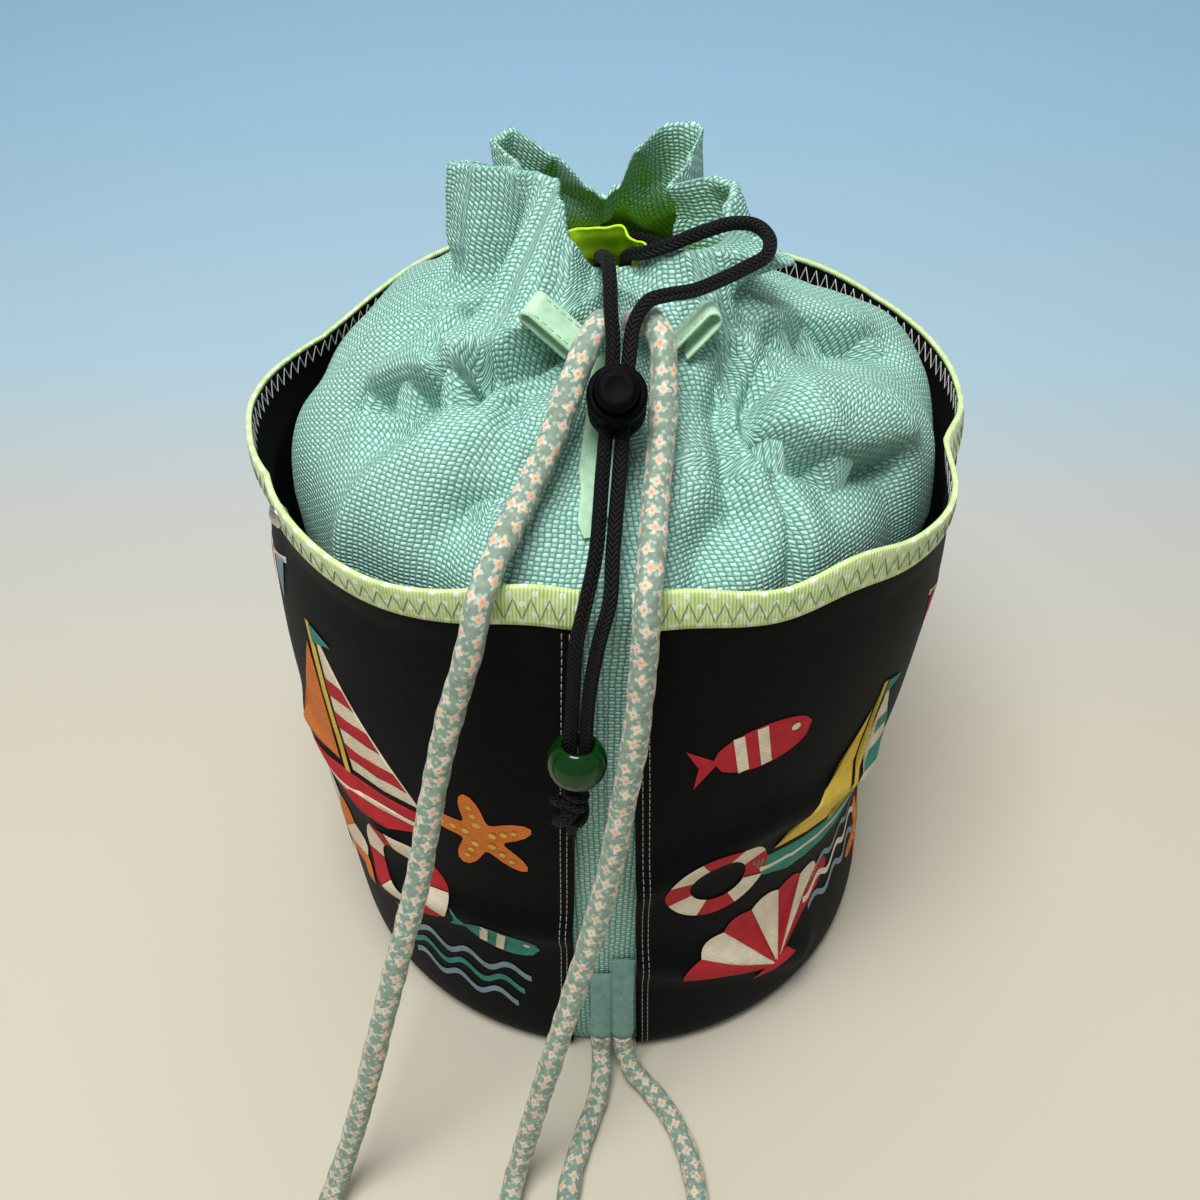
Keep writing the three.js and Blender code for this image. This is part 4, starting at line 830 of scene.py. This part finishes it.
# The cloth is drawn thinner at the rim, as it is seen there edge on.
inset = np.interp(pocket_rows[::-1], [BAND_ROW, BAND_ROW + 0.5], [POCKET_CLOTH, POCKET_CLOTH / 2])[:, None]
back, back_deg = pocket_net(pocket_rows[::-1], shares, -inset)
rim = [pocket_net(np.array([RIM_ROW]), shares, at)[0] + np.array([0, 0, 0.3]) for at in (-0.25, -0.55)]
pocket_grid = np.concatenate([face] + rim + [back])
pocket_deg = np.concatenate([face_deg, face_deg[-1:], face_deg[-1:], back_deg])
pocket_cloth = folded_cloth(pocket_deg * DEGREE * PRINT_RADIUS, lengths(pocket_grid, 0), 2)
pocket_faces = net_faces(len(pocket_grid), len(shares), True, False).tolist()
# The two front edges are turned in: quads from the face to the back.
high, wide, total = len(pocket_rows), len(shares), len(pocket_grid)
edge_cloth = []
for column, turn in ((0, 1), (wide - 1, -1)):
    for i in range(high - 1):
        pocket_faces.append([k * wide + column for k in (i, i + 1, total - 2 - i, total - 1 - i)][::turn])
        edge_cloth += [(0, 2.0 * i), (0, 2.0 * i + 2), (2, 2.0 * i + 2), (2, 2.0 * i)][::turn]
    pocket_faces.append([k * wide + column for k in range(high - 1, high + 3)][::turn])
    edge_cloth += [(0, 0), (0, 1), (1, 1), (1, 0)]
pocket = piece("pocket_cloth", pocket_grid, pocket_faces, [BLACK_COTTON],
               cloth=np.vstack([pocket_cloth, edge_cloth]))
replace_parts(pocket, "outer_pocket")

# Print on the pocket: seaside shapes of this part's own design, in flat colours.
PRINT_COLOURS = {
    "red": ("#c0282f", "#a01f27"), "orange": ("#e0813a", "#c56a28"), "cream": ("#eadfc8", "#cfc3aa"),
    "yellow": ("#e5c654", "#c9a93c"), "teal": ("#3f9484", "#2d7467"), "slate": ("#8ba0ac", "#6c828f")}
# Spacing of the print's net, how far it stands out, and how far each layer does from the one below.
PRINT_NET, PRINT_LIFT, LAYER_LIFT = 1.7, 0.25, 0.05
PRINT = {name: plain_cotton("printed_" + name + "_poplin", *tones) for name, tones in PRINT_COLOURS.items()}


def ring_of(count, radius):
    """Points of a ring, whose radius may be a function of the turn."""
    turns = np.linspace(0, 2 * np.pi, count, endpoint=False)
    rim = radius(turns) if callable(radius) else radius
    return np.stack([rim * np.cos(turns), rim * np.sin(turns)], -1)


def sail_band(low, high):
    """Band across the main sail between two heights."""
    edge = lambda y: 0.05 + 0.37 * (0.46 - y) / 0.70
    return [(0.05, low), (edge(low), low), (edge(high), high), (0.05, high)]


def ribbon_of(x, y, half):
    """Outline of a stroke along a line, of a width to each side."""
    return np.vstack([np.stack([x, y + half], -1), np.stack([x, y - half], -1)[::-1]])


# Motifs: shapes in a box of size 1, each a colour and an outline, from the lowest layer up.
def sailing_boat(hull, jib):
    """Hull, mast, jib, striped main sail and flag."""
    keel = [(0.36, -0.42), (0.2, -0.47), (-0.2, -0.47), (-0.36, -0.42)]
    shapes = [(hull, [(-0.46, -0.28), (0.46, -0.28)] + keel),
              ("cream", [(-0.4, -0.35), (0.4, -0.35), (0.385, -0.385), (-0.385, -0.385)]),
              ("yellow", [(-0.012, -0.28), (0.02, -0.28), (0.02, 0.5), (-0.012, 0.5)]),
              ("cream", sail_band(-0.24, 0.455)),
              (jib, [(-0.04, -0.24), (-0.36, -0.24), (-0.2, 0.06), (-0.04, 0.38)])]
    shapes += [(hull, sail_band(low, low + 0.085)) for low in (-0.17, 0.0, 0.17)]
    return shapes + [("teal", [(0.02, 0.5), (0.16, 0.455), (0.02, 0.41)])]


def life_ring():
    """Ring of eight arcs."""
    shapes = []
    for k in range(8):
        arc = np.linspace(k, k + 1, 9) * np.pi / 4
        outer, inner = (np.stack([r * np.cos(a), r * np.sin(a)], -1)
                        for r, a in ((0.5, arc), (0.27, arc[::-1])))
        shapes.append((("red", "cream")[k % 2], np.vstack([outer, inner])))
    return shapes


def scallop_shell(pale, warm):
    """Fan of seven ribs over a foot."""
    shapes = []
    for k in range(7):
        arc = np.linspace(28 + 124 / 7 * k, 28 + 124 / 7 * (k + 1), 7) * DEGREE
        reach = 0.84 + 0.06 * np.sin(np.linspace(0, np.pi, 7))
        rim = np.stack([reach * np.cos(arc), reach * np.sin(arc) - 0.42], -1)
        shapes.append(((warm, pale)[k % 2], np.vstack([[(0.0, -0.40)], rim])))
    return shapes + [(warm, [(-0.2, -0.47), (0.2, -0.47), (0.13, -0.34), (-0.13, -0.34)])]


def starfish(warm, pale):
    """Five round arms with dots that grow smaller."""
    shapes = [(warm, ring_of(60, lambda t: 0.2 + 0.3 * (0.5 + 0.5 * np.cos(5 * (t - np.pi / 2))) ** 1.4))]
    for arm in range(5):
        turn = np.pi / 2 + arm * 2 * np.pi / 5
        for reach, size in ((0.13, 0.034), (0.24, 0.028), (0.34, 0.022)):
            shapes.append((pale, ring_of(10, size) + reach * np.array([np.cos(turn), np.sin(turn)])))
    return shapes


def small_fish(body_colour, stripe):
    """Oval body with tail, two stripes and an eye."""
    x = np.linspace(-0.34, 0.4, 16)
    half = 0.21 * np.sqrt(np.clip(1 - ((x - 0.03) / 0.372) ** 2, 0, 1))
    shapes = [(body_colour, np.vstack([np.stack([x, half], -1), np.stack([x, -half], -1)[::-1][1:-1]])),
              (body_colour, [(-0.3, 0.0), (-0.5, 0.2), (-0.44, 0.0), (-0.5, -0.2)])]
    for at in (-0.14, 0.03):
        tall = 0.2 * math.sqrt(1 - (at / 0.372) ** 2)
        low, high = at - 0.04, at + 0.04
        shapes.append((stripe, [(low, -tall), (high, -tall * 0.98), (high, tall * 0.98), (low, tall)]))
    return shapes + [("cream", ring_of(10, 0.035) + np.array([0.27, 0.05]))]


def wave_strokes(first, second):
    """Three wavy strokes, one below the other."""
    shapes = []
    for k, colour in enumerate((first, second, first)):
        x = np.linspace(-0.5 + 0.06 * k, 0.5 - 0.05 * k, 30)
        shapes.append((colour, ribbon_of(x, 0.05 * np.sin(x * 22 + k) + 0.16 * (1 - k), 0.03)))
    return shapes


def pennants():
    """Six small flags on a sagging line."""
    x = np.linspace(-0.5, 0.5, 25)
    line = lambda at: 0.5 * at ** 2 - 0.02
    shapes = [("cream", ribbon_of(x, line(x), 0.012))]
    for k, colour in enumerate(("red", "cream", "teal", "yellow", "orange", "slate")):
        at = -0.41 + 0.164 * k
        ends = [(x, line(x)) for x in (at - 0.06, at + 0.06)]
        shapes.append((colour, ends + [(at, line(at) - 0.17)]))
    return shapes


# Each motif: shapes, bearing, height on the pocket, size and turn in degrees.
MOTIFS = [
    (sailing_boat("red", "orange"), -52, 146, 84, 6), (wave_strokes("slate", "teal"), -30, 40, 60, 0),
    (life_ring(), -40, 84, 42, 10), (scallop_shell("cream", "orange"), -68, 70, 50, -14),
    (starfish("orange", "yellow"), -21, 128, 40, 12), (small_fish("teal", "cream"), -20, 70, 38, -12),
    (pennants(), -86, 188, 96, 4), (starfish("yellow", "orange"), -94, 92, 34, 40),
    (wave_strokes("teal", "slate"), -98, 150, 48, 5), (scallop_shell("cream", "red"), 34, 56, 50, 10),
    (sailing_boat("teal", "yellow"), 48, 126, 84, -8), (life_ring(), 20, 104, 38, -20),
    (small_fish("red", "cream"), 24, 170, 44, 10), (wave_strokes("slate", "cream"), 58, 60, 60, 4),
    (starfish("orange", "cream"), 76, 44, 42, 20), (pennants(), 84, 178, 92, -6),
    (small_fish("yellow", "red"), 78, 116, 46, 160), (sailing_boat("orange", "cream"), 108, 84, 80, 4),
    (scallop_shell("yellow", "orange"), 106, 158, 46, 20), (life_ring(), 132, 48, 46, 0),
    (starfish("red", "yellow"), 130, 128, 42, -10), (wave_strokes("slate", "teal"), 108, 28, 64, 0),
    (small_fish("teal", "yellow"), 142, 182, 50, -8), (sailing_boat("red", "teal"), 164, 92, 86, -5),
    (pennants(), 174, 186, 96, 3), (wave_strokes("teal", "cream"), 164, 32, 70, 0),
    (scallop_shell("cream", "orange"), 192, 54, 52, -12), (life_ring(), 194, 136, 44, 15),
    (starfish("orange", "yellow"), 214, 182, 40, 30), (sailing_boat("teal", "orange"), 222, 88, 84, 7),
    (wave_strokes("slate", "teal"), 222, 30, 66, 0), (small_fish("red", "cream"), 246, 150, 48, 14),
    (scallop_shell("cream", "red"), 246, 62, 52, 8)]


def pocket_spot(across, high):
    """Pocket row and bearing of a place on the flat cloth."""
    fine = np.linspace(0, RIM_ROW, 281)
    return np.interp(high, pocket_value(POCKET_Z, fine), fine), across / PRINT_RADIUS / DEGREE


print_points, print_faces, print_cloth, print_kinds = [], [], [], []
palette = list(PRINT)
count = 0
for shapes, bearing, height, size, lean in MOTIFS:
    lean *= DEGREE
    turn = np.array([[math.cos(lean), math.sin(lean)], [-math.sin(lean), math.cos(lean)]])
    for layer, (colour, outline) in enumerate(shapes):
        flat = np.asarray(outline, float) @ turn * size + np.array([bearing * DEGREE * PRINT_RADIUS, height])
        low, top = flat.min(0), flat.max(0)
        across, along = (np.arange(low[k], top[k], PRINT_NET) for k in (0, 1))
        inner = [(x, y) for x in across for y in along]
        ring = [Vector(p) for p in flat]
        net = delaunay_2d_cdt(ring + [Vector(p) for p in inner], [], [list(range(len(ring)))], 1, 1e-4)
        spots = np.array([tuple(v) for v in net[0]])
        row, deg = pocket_spot(spots[:, 0], spots[:, 1])
        print_points.append(pocket_point(row, deg, PRINT_LIFT + LAYER_LIFT * layer))
        for tri in net[2]:
            print_faces.append([count + k for k in tri])
            print_cloth += [tuple(spots[k]) for k in tri]
            print_kinds.append(palette.index(colour))
        count += len(spots)
piece("pocket_print", np.vstack(print_points), print_faces, list(PRINT.values()),
      cloth=print_cloth, kinds=print_kinds)

# Dotted ribbon along the rim, with its zigzag stitch.
ribbon_rows = np.linspace(6.51, RIM_ROW, 9)
ribbon_face, _ = pocket_net(ribbon_rows, shares, 0.7)
ribbon_back, _ = pocket_net(ribbon_rows[::-1], shares, 0.2)
over = [pocket_net(np.array([RIM_ROW]), shares, at)[0] + np.array([0, 0, lift])
        for at, lift in ((0.5, 0.3), (-0.1, 0.45), (-0.8, 0.4), (-1.1, 0.1))]
under = [pocket_net(np.array([row]), shares, at)[0] for row, at in ((6.95, -1.1), (6.95, -0.9))]
ribbon_net = np.concatenate([ribbon_face] + over + under + [ribbon_back])
ribbon_across = np.repeat(lengths(ribbon_face, 1)[4:5], len(ribbon_net), 0)
ribbon_faces = net_faces(len(ribbon_net), len(shares), True, False)
ribbon_cloth = folded_cloth(ribbon_across, lengths(ribbon_net, 0), 1)
ribbon = piece("ribbon_band", ribbon_net, ribbon_faces, [RIBBON], cloth=ribbon_cloth)
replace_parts(ribbon, "rim_ribbon")


RIM_LENGTH, ZIGZAG_PITCH = 740, 2.5


def zigzag(low, high, out):
    """A zigzag of thread round the rim between two pocket rows."""
    turns = int(RIM_LENGTH / ZIGZAG_PITCH)
    spots = np.linspace(0.004, 0.996, turns)
    rows = np.where(np.arange(turns) % 2 == 0, low, high)
    path = []
    for a in range(turns - 1):
        for f in np.linspace(0, 1, 5, endpoint=False):
            row = np.array([rows[a] + (rows[a + 1] - rows[a]) * f])
            share = np.array([spots[a] + (spots[a + 1] - spots[a]) * f])
            path.append(pocket_net(row, share, out)[0][0, 0])
    return path


threads("ribbon_zigzag", [zigzag(6.6, 6.88, 0.8)], 0.16, GREY_THREAD)
threads("pocket_zigzag", [zigzag(6.58, 6.9, -0.92)], 0.2, WHITE_THREAD)

# Twin rows of white stitching beside both front edges of the pocket.
STITCH_PITCH, STITCH_LONG, EDGE_RADIUS = 3.0, 2.1, 108
runs = []
for side in (0, 1):
    for inset in (2.2, 4.2):
        for high in np.arange(3, 221, STITCH_PITCH):
            rows = np.linspace(*pocket_spot(0, np.array([high, high + STITCH_LONG]))[0], 5)
            bow = 0.08 + 0.18 * np.sin(np.linspace(0, np.pi, 5))
            edge = strip_edges(rows)[side] + (1, -1)[side] * inset / EDGE_RADIUS / DEGREE
            runs.append(pocket_point(rows, edge, bow))
threads("edge_stitching", runs, 0.15, EDGE_THREAD)

# Mint tape: the folded placket in the front valley and the two loops.
placket_rows = np.linspace(7.9, 11.2, 28)
placket_half = np.interp(placket_rows, [7.9, 8.15, 9, 11.2], [0.6, 2.6, 4.8, 5.4])
placket_middle = np.interp(placket_rows, [7.9, 8.6, 11.2], [-3.2, -1.2, 0.0])
placket_share = np.linspace(-1, 1, 13)
placket_deg = placket_middle[:, None] + placket_half[:, None] * placket_share[None]
placket_lift = 1.1 + 0.7 * np.abs(placket_share)[None] ** 0.5 + 0 * placket_deg
placket_top = body_point(placket_rows[:, None], placket_deg, placket_lift)
placket_low = body_point(placket_rows[:, None], placket_deg, 0.3)
placket_net = np.concatenate([placket_top, placket_low[:, ::-1]], 1)
placket_faces = net_faces(*placket_net.shape[:2], False, True)
placket = piece("placket_fold", placket_net, placket_faces, [MINT_TAPE],
                cloth=sleeve_cloth(placket_net))
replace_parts(placket, "placket_tape")


TAPE_HALF_WIDE, TAPE_HALF_THICK = 4.4, 0.4
LOOP_HALF_HIGH, LOOP_SEAM = 2.3, 2  # half the loop's opening, and how far its ends go into the seam


def tape_loop(name, root, tip, over):
    """A short tape folded back on itself, with its two ends sewn in at the root."""
    root, tip, over = (np.array(p, float) for p in (root, tip, over))
    along = tip - root
    length = np.linalg.norm(along)
    along /= length
    lift = over - along * over.dot(along)
    lift /= np.linalg.norm(lift)
    across = np.cross(along, lift)
    half, bend = LOOP_HALF_HIGH, length - LOOP_HALF_HIGH
    line = [(s, -half) for s in np.linspace(-LOOP_SEAM, bend, 8, endpoint=False)]
    line += [(bend + half * math.cos(a), half * math.sin(a)) for a in np.linspace(-np.pi / 2, np.pi / 2, 13)]
    line += [(s, half) for s in np.linspace(bend, -LOOP_SEAM, 9)[1:]]
    line = np.array(line)
    normal = np.gradient(line, axis=0)
    normal = np.stack([normal[:, 1], -normal[:, 0]], -1) / np.linalg.norm(normal, axis=1)[:, None]
    wide = np.linspace(-TAPE_HALF_WIDE, TAPE_HALF_WIDE, 7)
    cross = [(w, TAPE_HALF_THICK) for w in wide] + [(w, -TAPE_HALF_THICK) for w in wide[::-1]]
    net = np.array([[root + along * p[0] + lift * p[1] + across * w + (along * n[0] + lift * n[1]) * t
                     for w, t in cross] for p, n in zip(line, normal)])
    made = piece(name + "_fold", net, net_faces(len(line), len(cross), False, True), [MINT_TAPE],
                 cloth=sleeve_cloth(net))
    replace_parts(made, name)
    rows = [[root + along * s + lift * (half + 0.45) + across * w for s in np.linspace(at, at + 1.7, 3)]
            for w in (-3.2, 3.2) for at in np.arange(0.5, length - 3, 2.6)]
    threads(name + "_stitches", rows, 0.14, MINT_THREAD)


tape_loop("tape_loop_left", (-11.2, -53.7, 278.8), (-22.6, -51.4, 288.6), (0.35, -0.55, 0.76))
tape_loop("tape_loop_right", (20.3, -54.3, 278.8), (28.8, -52.3, 287.8), (-0.65, -0.05, 0.75))


# Teal tabs that hold the lower ends of the straps on the front strip: they taper up against the wall.
TAB_SIDES, TAB_LOW = 32, 21.6
TAB_SHARES, TAB_DEEP, TAB_MIDDLE = [0, 0.35, 0.8, 1], [3.6, 2.4, 1.0, 0.3], [-110.9, -110.2, -109.0, -107.6]


def strap_tab(name, x, height):
    """A tapered tab of a height, from the lower end of a strap up."""
    turns = np.linspace(0, 360, TAB_SIDES + 1)
    net = []
    for f in np.linspace(0, 1, 18):
        wide = 4.3 - 0.3 * np.sin(np.pi * f)
        deep, y = (np.interp(f, TAB_SHARES, values) for values in (TAB_DEEP, TAB_MIDDLE))
        net.append([(x + wide * math.sin(a * DEGREE), y - deep * math.cos(a * DEGREE), TAB_LOW + f * height)
                    for a in turns])
    net = np.array(net)
    points = net[:, :-1].reshape(-1, 3)
    faces = net_faces(len(net), TAB_SIDES, False, True).tolist()
    faces += [list(range(TAB_SIDES))[::-1], list(range(len(points) - TAB_SIDES, len(points)))]
    cloth = np.vstack([open_cloth(lengths(net, 1), lengths(net, 0)), np.zeros((2 * TAB_SIDES, 2))])
    made = piece(name + "_cloth", points, faces, [TEAL_TAPE], cloth=cloth)
    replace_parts(made, name)


strap_tab("strap_tab_left", -1.4, 32)
strap_tab("strap_tab_right", 6.4, 41)


# Turned pieces: bead, snap caps and cord lock.
def turned(name, profile, segments, place, finish, body):
    """A lathe shape from pairs of radius and height, put in place by a matrix. It starts and ends on the
    axis or closes on itself."""
    profile = np.array(profile, float)
    turns = np.linspace(0, 2 * np.pi, segments, endpoint=False)
    radius, height = profile[:, :1], np.repeat(profile[:, 1:], segments, 1)
    net = np.stack([radius * np.cos(turns), radius * np.sin(turns), height], -1)
    closed = bool(np.allclose(profile[0], profile[-1]))
    net = net[:-1] if closed else net
    faces = net_faces(len(net), segments, closed, True)
    return piece(name, placed(net.reshape(-1, 3), place), faces, [finish], body)


BEAD_CENTRE = Vector((-8.2, -124, 183.6))
BEAD_WAY = Vector((0.06, 0.07, 1)).normalized()
bead_place = Matrix.Translation(BEAD_CENTRE) @ BEAD_WAY.to_track_quat("Z", "Y").to_matrix().to_4x4()
BEAD_RADIUS, HOLE_RADIUS, ROUND_OVER = 8.75, 4.55, 0.8
lip_turn = math.acos((HOLE_RADIUS + ROUND_OVER) / BEAD_RADIUS)
bead_line = [(BEAD_RADIUS * math.cos(a), BEAD_RADIUS * math.sin(a))
             for a in np.linspace(-lip_turn, lip_turn, 25)]
top = bead_line[-1][1]
lip_line = [(HOLE_RADIUS + ROUND_OVER * (1 - math.sin(a)), top - ROUND_OVER * (1 - math.cos(a)) * 1.1)
            for a in np.linspace(0.2, math.pi / 2, 6)]
bead_line += lip_line + [(HOLE_RADIUS, 0.0)] + [(r, -z) for r, z in reversed(lip_line)] + bead_line[:1]
bead = turned("glass_bead", bead_line, 64, bead_place, GREEN_GLASS, "bead")
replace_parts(bead, "bead")

SNAP_BEARING = -52
snap_share = (360 + SNAP_BEARING) / 360
snap_spot = pocket_net(np.array([6.74]), np.array([snap_share]), 0.0)[0][0, 0]
snap_out = Vector((snap_spot[0], snap_spot[1], 0)).normalized()
cap_line = [(0.01, 0), (3.4, 0), (3.6, 0.3), (3.5, 0.7), (3.0, 0.95), (2.8, 0.9), (2.5, 1.25), (1.8, 1.65),
            (0.9, 1.9), (0.01, 1.95)]
for name, way, gap in (("snap_cap_outer", 1, 0.75), ("snap_cap_inner", -1, 0.9)):
    spot = Vector(snap_spot) + snap_out * way * gap
    place = Matrix.Translation(spot) @ (snap_out * way).to_track_quat("Z", "Y").to_matrix().to_4x4()
    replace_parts(turned(name + "_dome", cap_line, 32, place, NICKEL, "bag"), name)

LOCK_CENTRE = Vector((2, -82, 276.1))
LOCK_WAY = Vector((-3.5, -35.5, -36.1)).normalized()
lock_axis = LOCK_WAY.cross(Vector((1, 0, 0))).normalized()
lock_side = LOCK_WAY.cross(lock_axis)
lock_place = Matrix((lock_side, LOCK_WAY, lock_axis)).transposed().to_4x4()
lock_place.translation = LOCK_CENTRE
SLOT_HALF_WIDE, SLOT_HALF_HIGH, PRESS_ROOM = 4.7, 2.4, 3.7


def slotted(name, profile, low, high, body):
    """A turned part of the lock with the flat slot that the cords run through."""
    part = turned(name + "_moulding", profile, 64, lock_place, BLACK_ABS, body)
    corners = [(x, y, z) for x in (-SLOT_HALF_WIDE, SLOT_HALF_WIDE) for y in (-32, 32) for z in (low, high)]
    sides = [(0, 1, 3, 2), (4, 6, 7, 5), (0, 4, 5, 1), (2, 3, 7, 6), (0, 2, 6, 4), (1, 5, 7, 3)]
    bar = bpy.data.meshes.new("slot_cutter")
    bar.from_pydata((placed(corners, lock_place) * MM).tolist(), [], sides)
    cutter = bpy.data.objects.new("slot_cutter", bar)
    bpy.context.collection.objects.link(cutter)
    cut = part.modifiers.new("slot", "BOOLEAN")
    cut.object, cut.operation, cut.solver = cutter, "DIFFERENCE", "EXACT"
    bpy.context.view_layer.update()
    made = bpy.data.meshes.new_from_object(part.evaluated_get(bpy.context.evaluated_depsgraph_get()))
    part.modifiers.clear()
    part.data = made
    bpy.data.objects.remove(cutter)
    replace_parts(part, name)
    return part


barrel = [
    (0.01, -12), (5.6, -12), (6.9, -11.6), (7.6, -10.7), (7.9, -9.6), (7.9, 4.5), (7.6, 4.9), (7.6, 5.6),
    (7.9, 6), (7.9, 8.9), (7.6, 9.6), (6.9, 10), (5.95, 10), (5.95, -10.4), (0.01, -10.4)]
button = [
    (0.01, -4.4), (5.6, -4.4), (5.6, 13.4), (5.3, 14.3), (4.6, 14.9), (3.4, 15.15), (2.8, 14.9),
    (0.01, 14.7)]
housing = slotted("lock_housing", barrel, -SLOT_HALF_HIGH, SLOT_HALF_HIGH, "cord_lock")
plunger = slotted("lock_plunger", button, -SLOT_HALF_HIGH, SLOT_HALF_HIGH + PRESS_ROOM, "plunger")

# Spring behind the button: it shortens as the button is pressed.
COIL_RADIUS, WIRE_RADIUS = 4.1, 0.4
coil_turn = np.linspace(0, 8 * np.pi, 129)
coil = np.stack([COIL_RADIUS * np.cos(coil_turn), COIL_RADIUS * np.sin(coil_turn),
                 np.linspace(-9.75, -5.05, 129)], -1)
spring = threads("coil_spring", [placed(coil, lock_place)], WIRE_RADIUS, SPRING_STEEL,
                 sides=8, body=None)
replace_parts(spring, "lock_spring")
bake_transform(spring)

# Knot below the bead: two turns of the cord pulled tight, the leads into it, and two frayed ends.
turn = np.linspace(0, 2 * np.pi, 121)
swing = 2 + np.cos(3 * turn)
tie = np.stack([1.55 * swing * np.cos(2 * turn) + 2.4, 1.4 * swing * np.sin(2 * turn) - 0.6,
                3.6 * np.sin(3 * turn) - 21], -1)
wind = np.linspace(0, 3.4 * np.pi, 90)
collar = np.stack([2.3 * np.cos(wind) - 0.4, 2.1 * np.sin(wind), -10.4 - 0.62 * wind], -1)
tails = [route([(1.0, 0.2, -23), (0.6, -0.6, -26), (1.4, -1.2, -29.5)], 0.8),
         route([(4.0, -0.8, -23), (5.0, -1.0, -26), (6.6, -1.4, -29)], 0.8)]
leads = [route([(-2.65, -0.53, -7), (-2.3, -0.4, -9.5), (-1, -0.2, -12.5)], 0.8),
         route([(1.75, -0.53, -7), (1.5, -0.4, -9.5), (0.5, -0.2, -12.5)], 0.8)]
knot_runs = [placed(run, bead_place) for run in [tie, collar] + tails + leads]
knot = threads("tied_knot", knot_runs, CORD_RADIUS - 0.1, BRAID, 12)
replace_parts(knot, "cord_knot")
frays = []
for tail, way in zip(tails, ((0.15, -0.25, -1), (0.45, -0.2, -1))):
    for k in range(26):
        spread = chance.normal(0, 0.35, 3)
        begin = tail[-1] + np.r_[chance.uniform(-1.4, 1.4, 2), 0.5]
        reach = chance.uniform(2.5, 5.5)
        way_out = np.array(way) + spread
        finish = begin + way_out * reach + np.r_[chance.normal(0, 0.8, 2), 0]
        frays.append(placed([begin, begin + way_out * reach * 0.5, finish], bead_place))
threads("cord_frays", frays, 0.16, BRAID, 5)

# The base keeps its solid's shape and gets its finish.
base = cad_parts["base_panel"]
base.data.materials.clear()
base.data.materials.append(BASE_COTTON)

# Floor and light: pale sand in front that turns to pale blue behind, under a wide soft lamp.
FLOOR_REACH, FLOOR_DROP = 6.0, -0.0003
ground = bpy.data.meshes.new("floor")
corners = [(x * FLOOR_REACH, y * FLOOR_REACH, FLOOR_DROP) for x, y in ((-1, -1), (1, -1), (1, 1), (-1, 1))]
ground.from_pydata(corners, [], [(0, 1, 2, 3)])
floor = bpy.data.objects.new("floor", ground)
bpy.context.collection.objects.link(floor)
paper, add = new_finish("matt_backdrop_paper", Roughness=0.95, Specular_IOR_Level=0.1)
flat = add("SeparateXYZ", add("TexCoord").outputs["Object"])
share = add("MapRange", flat.outputs[1], 0.0, 1.2, 0.0, 1.0)
to_shader(paper, Base_Color=add("ValToRGB", share, stops=[
    (0.05, "#c9c3b1"), (0.9, "#a9d5f1"), (0.2, "#c4c5c0"), (0.36, "#b0cedc")]))
ground.materials.append(paper)

world = bpy.data.worlds.new("studio")
bpy.context.scene.world = world
world.use_nodes = True
sky = world.node_tree.nodes["Background"].inputs
sky["Color"].default_value = linear("#f4f6f8")
sky["Strength"].default_value = 0.32


def lamp(name, place, aim, size, power):
    """A square soft lamp at a place, turned to its aim."""
    light = bpy.data.lights.new(name, "AREA")
    light.size, light.energy = size, power
    made = bpy.data.objects.new(name, light)
    bpy.context.collection.objects.link(made)
    made.location = place
    made.rotation_euler = (Vector(aim) - Vector(place)).to_track_quat("-Z", "Y").to_euler()


lamp("overhead_softbox", (-0.15, -0.42, 1.25), (0, 0, 0.15), 0.5, 15.5)
lamp("backdrop_light", (0, 1.6, 2.2), (0, 1.6, 0), 2.4, 20.0)
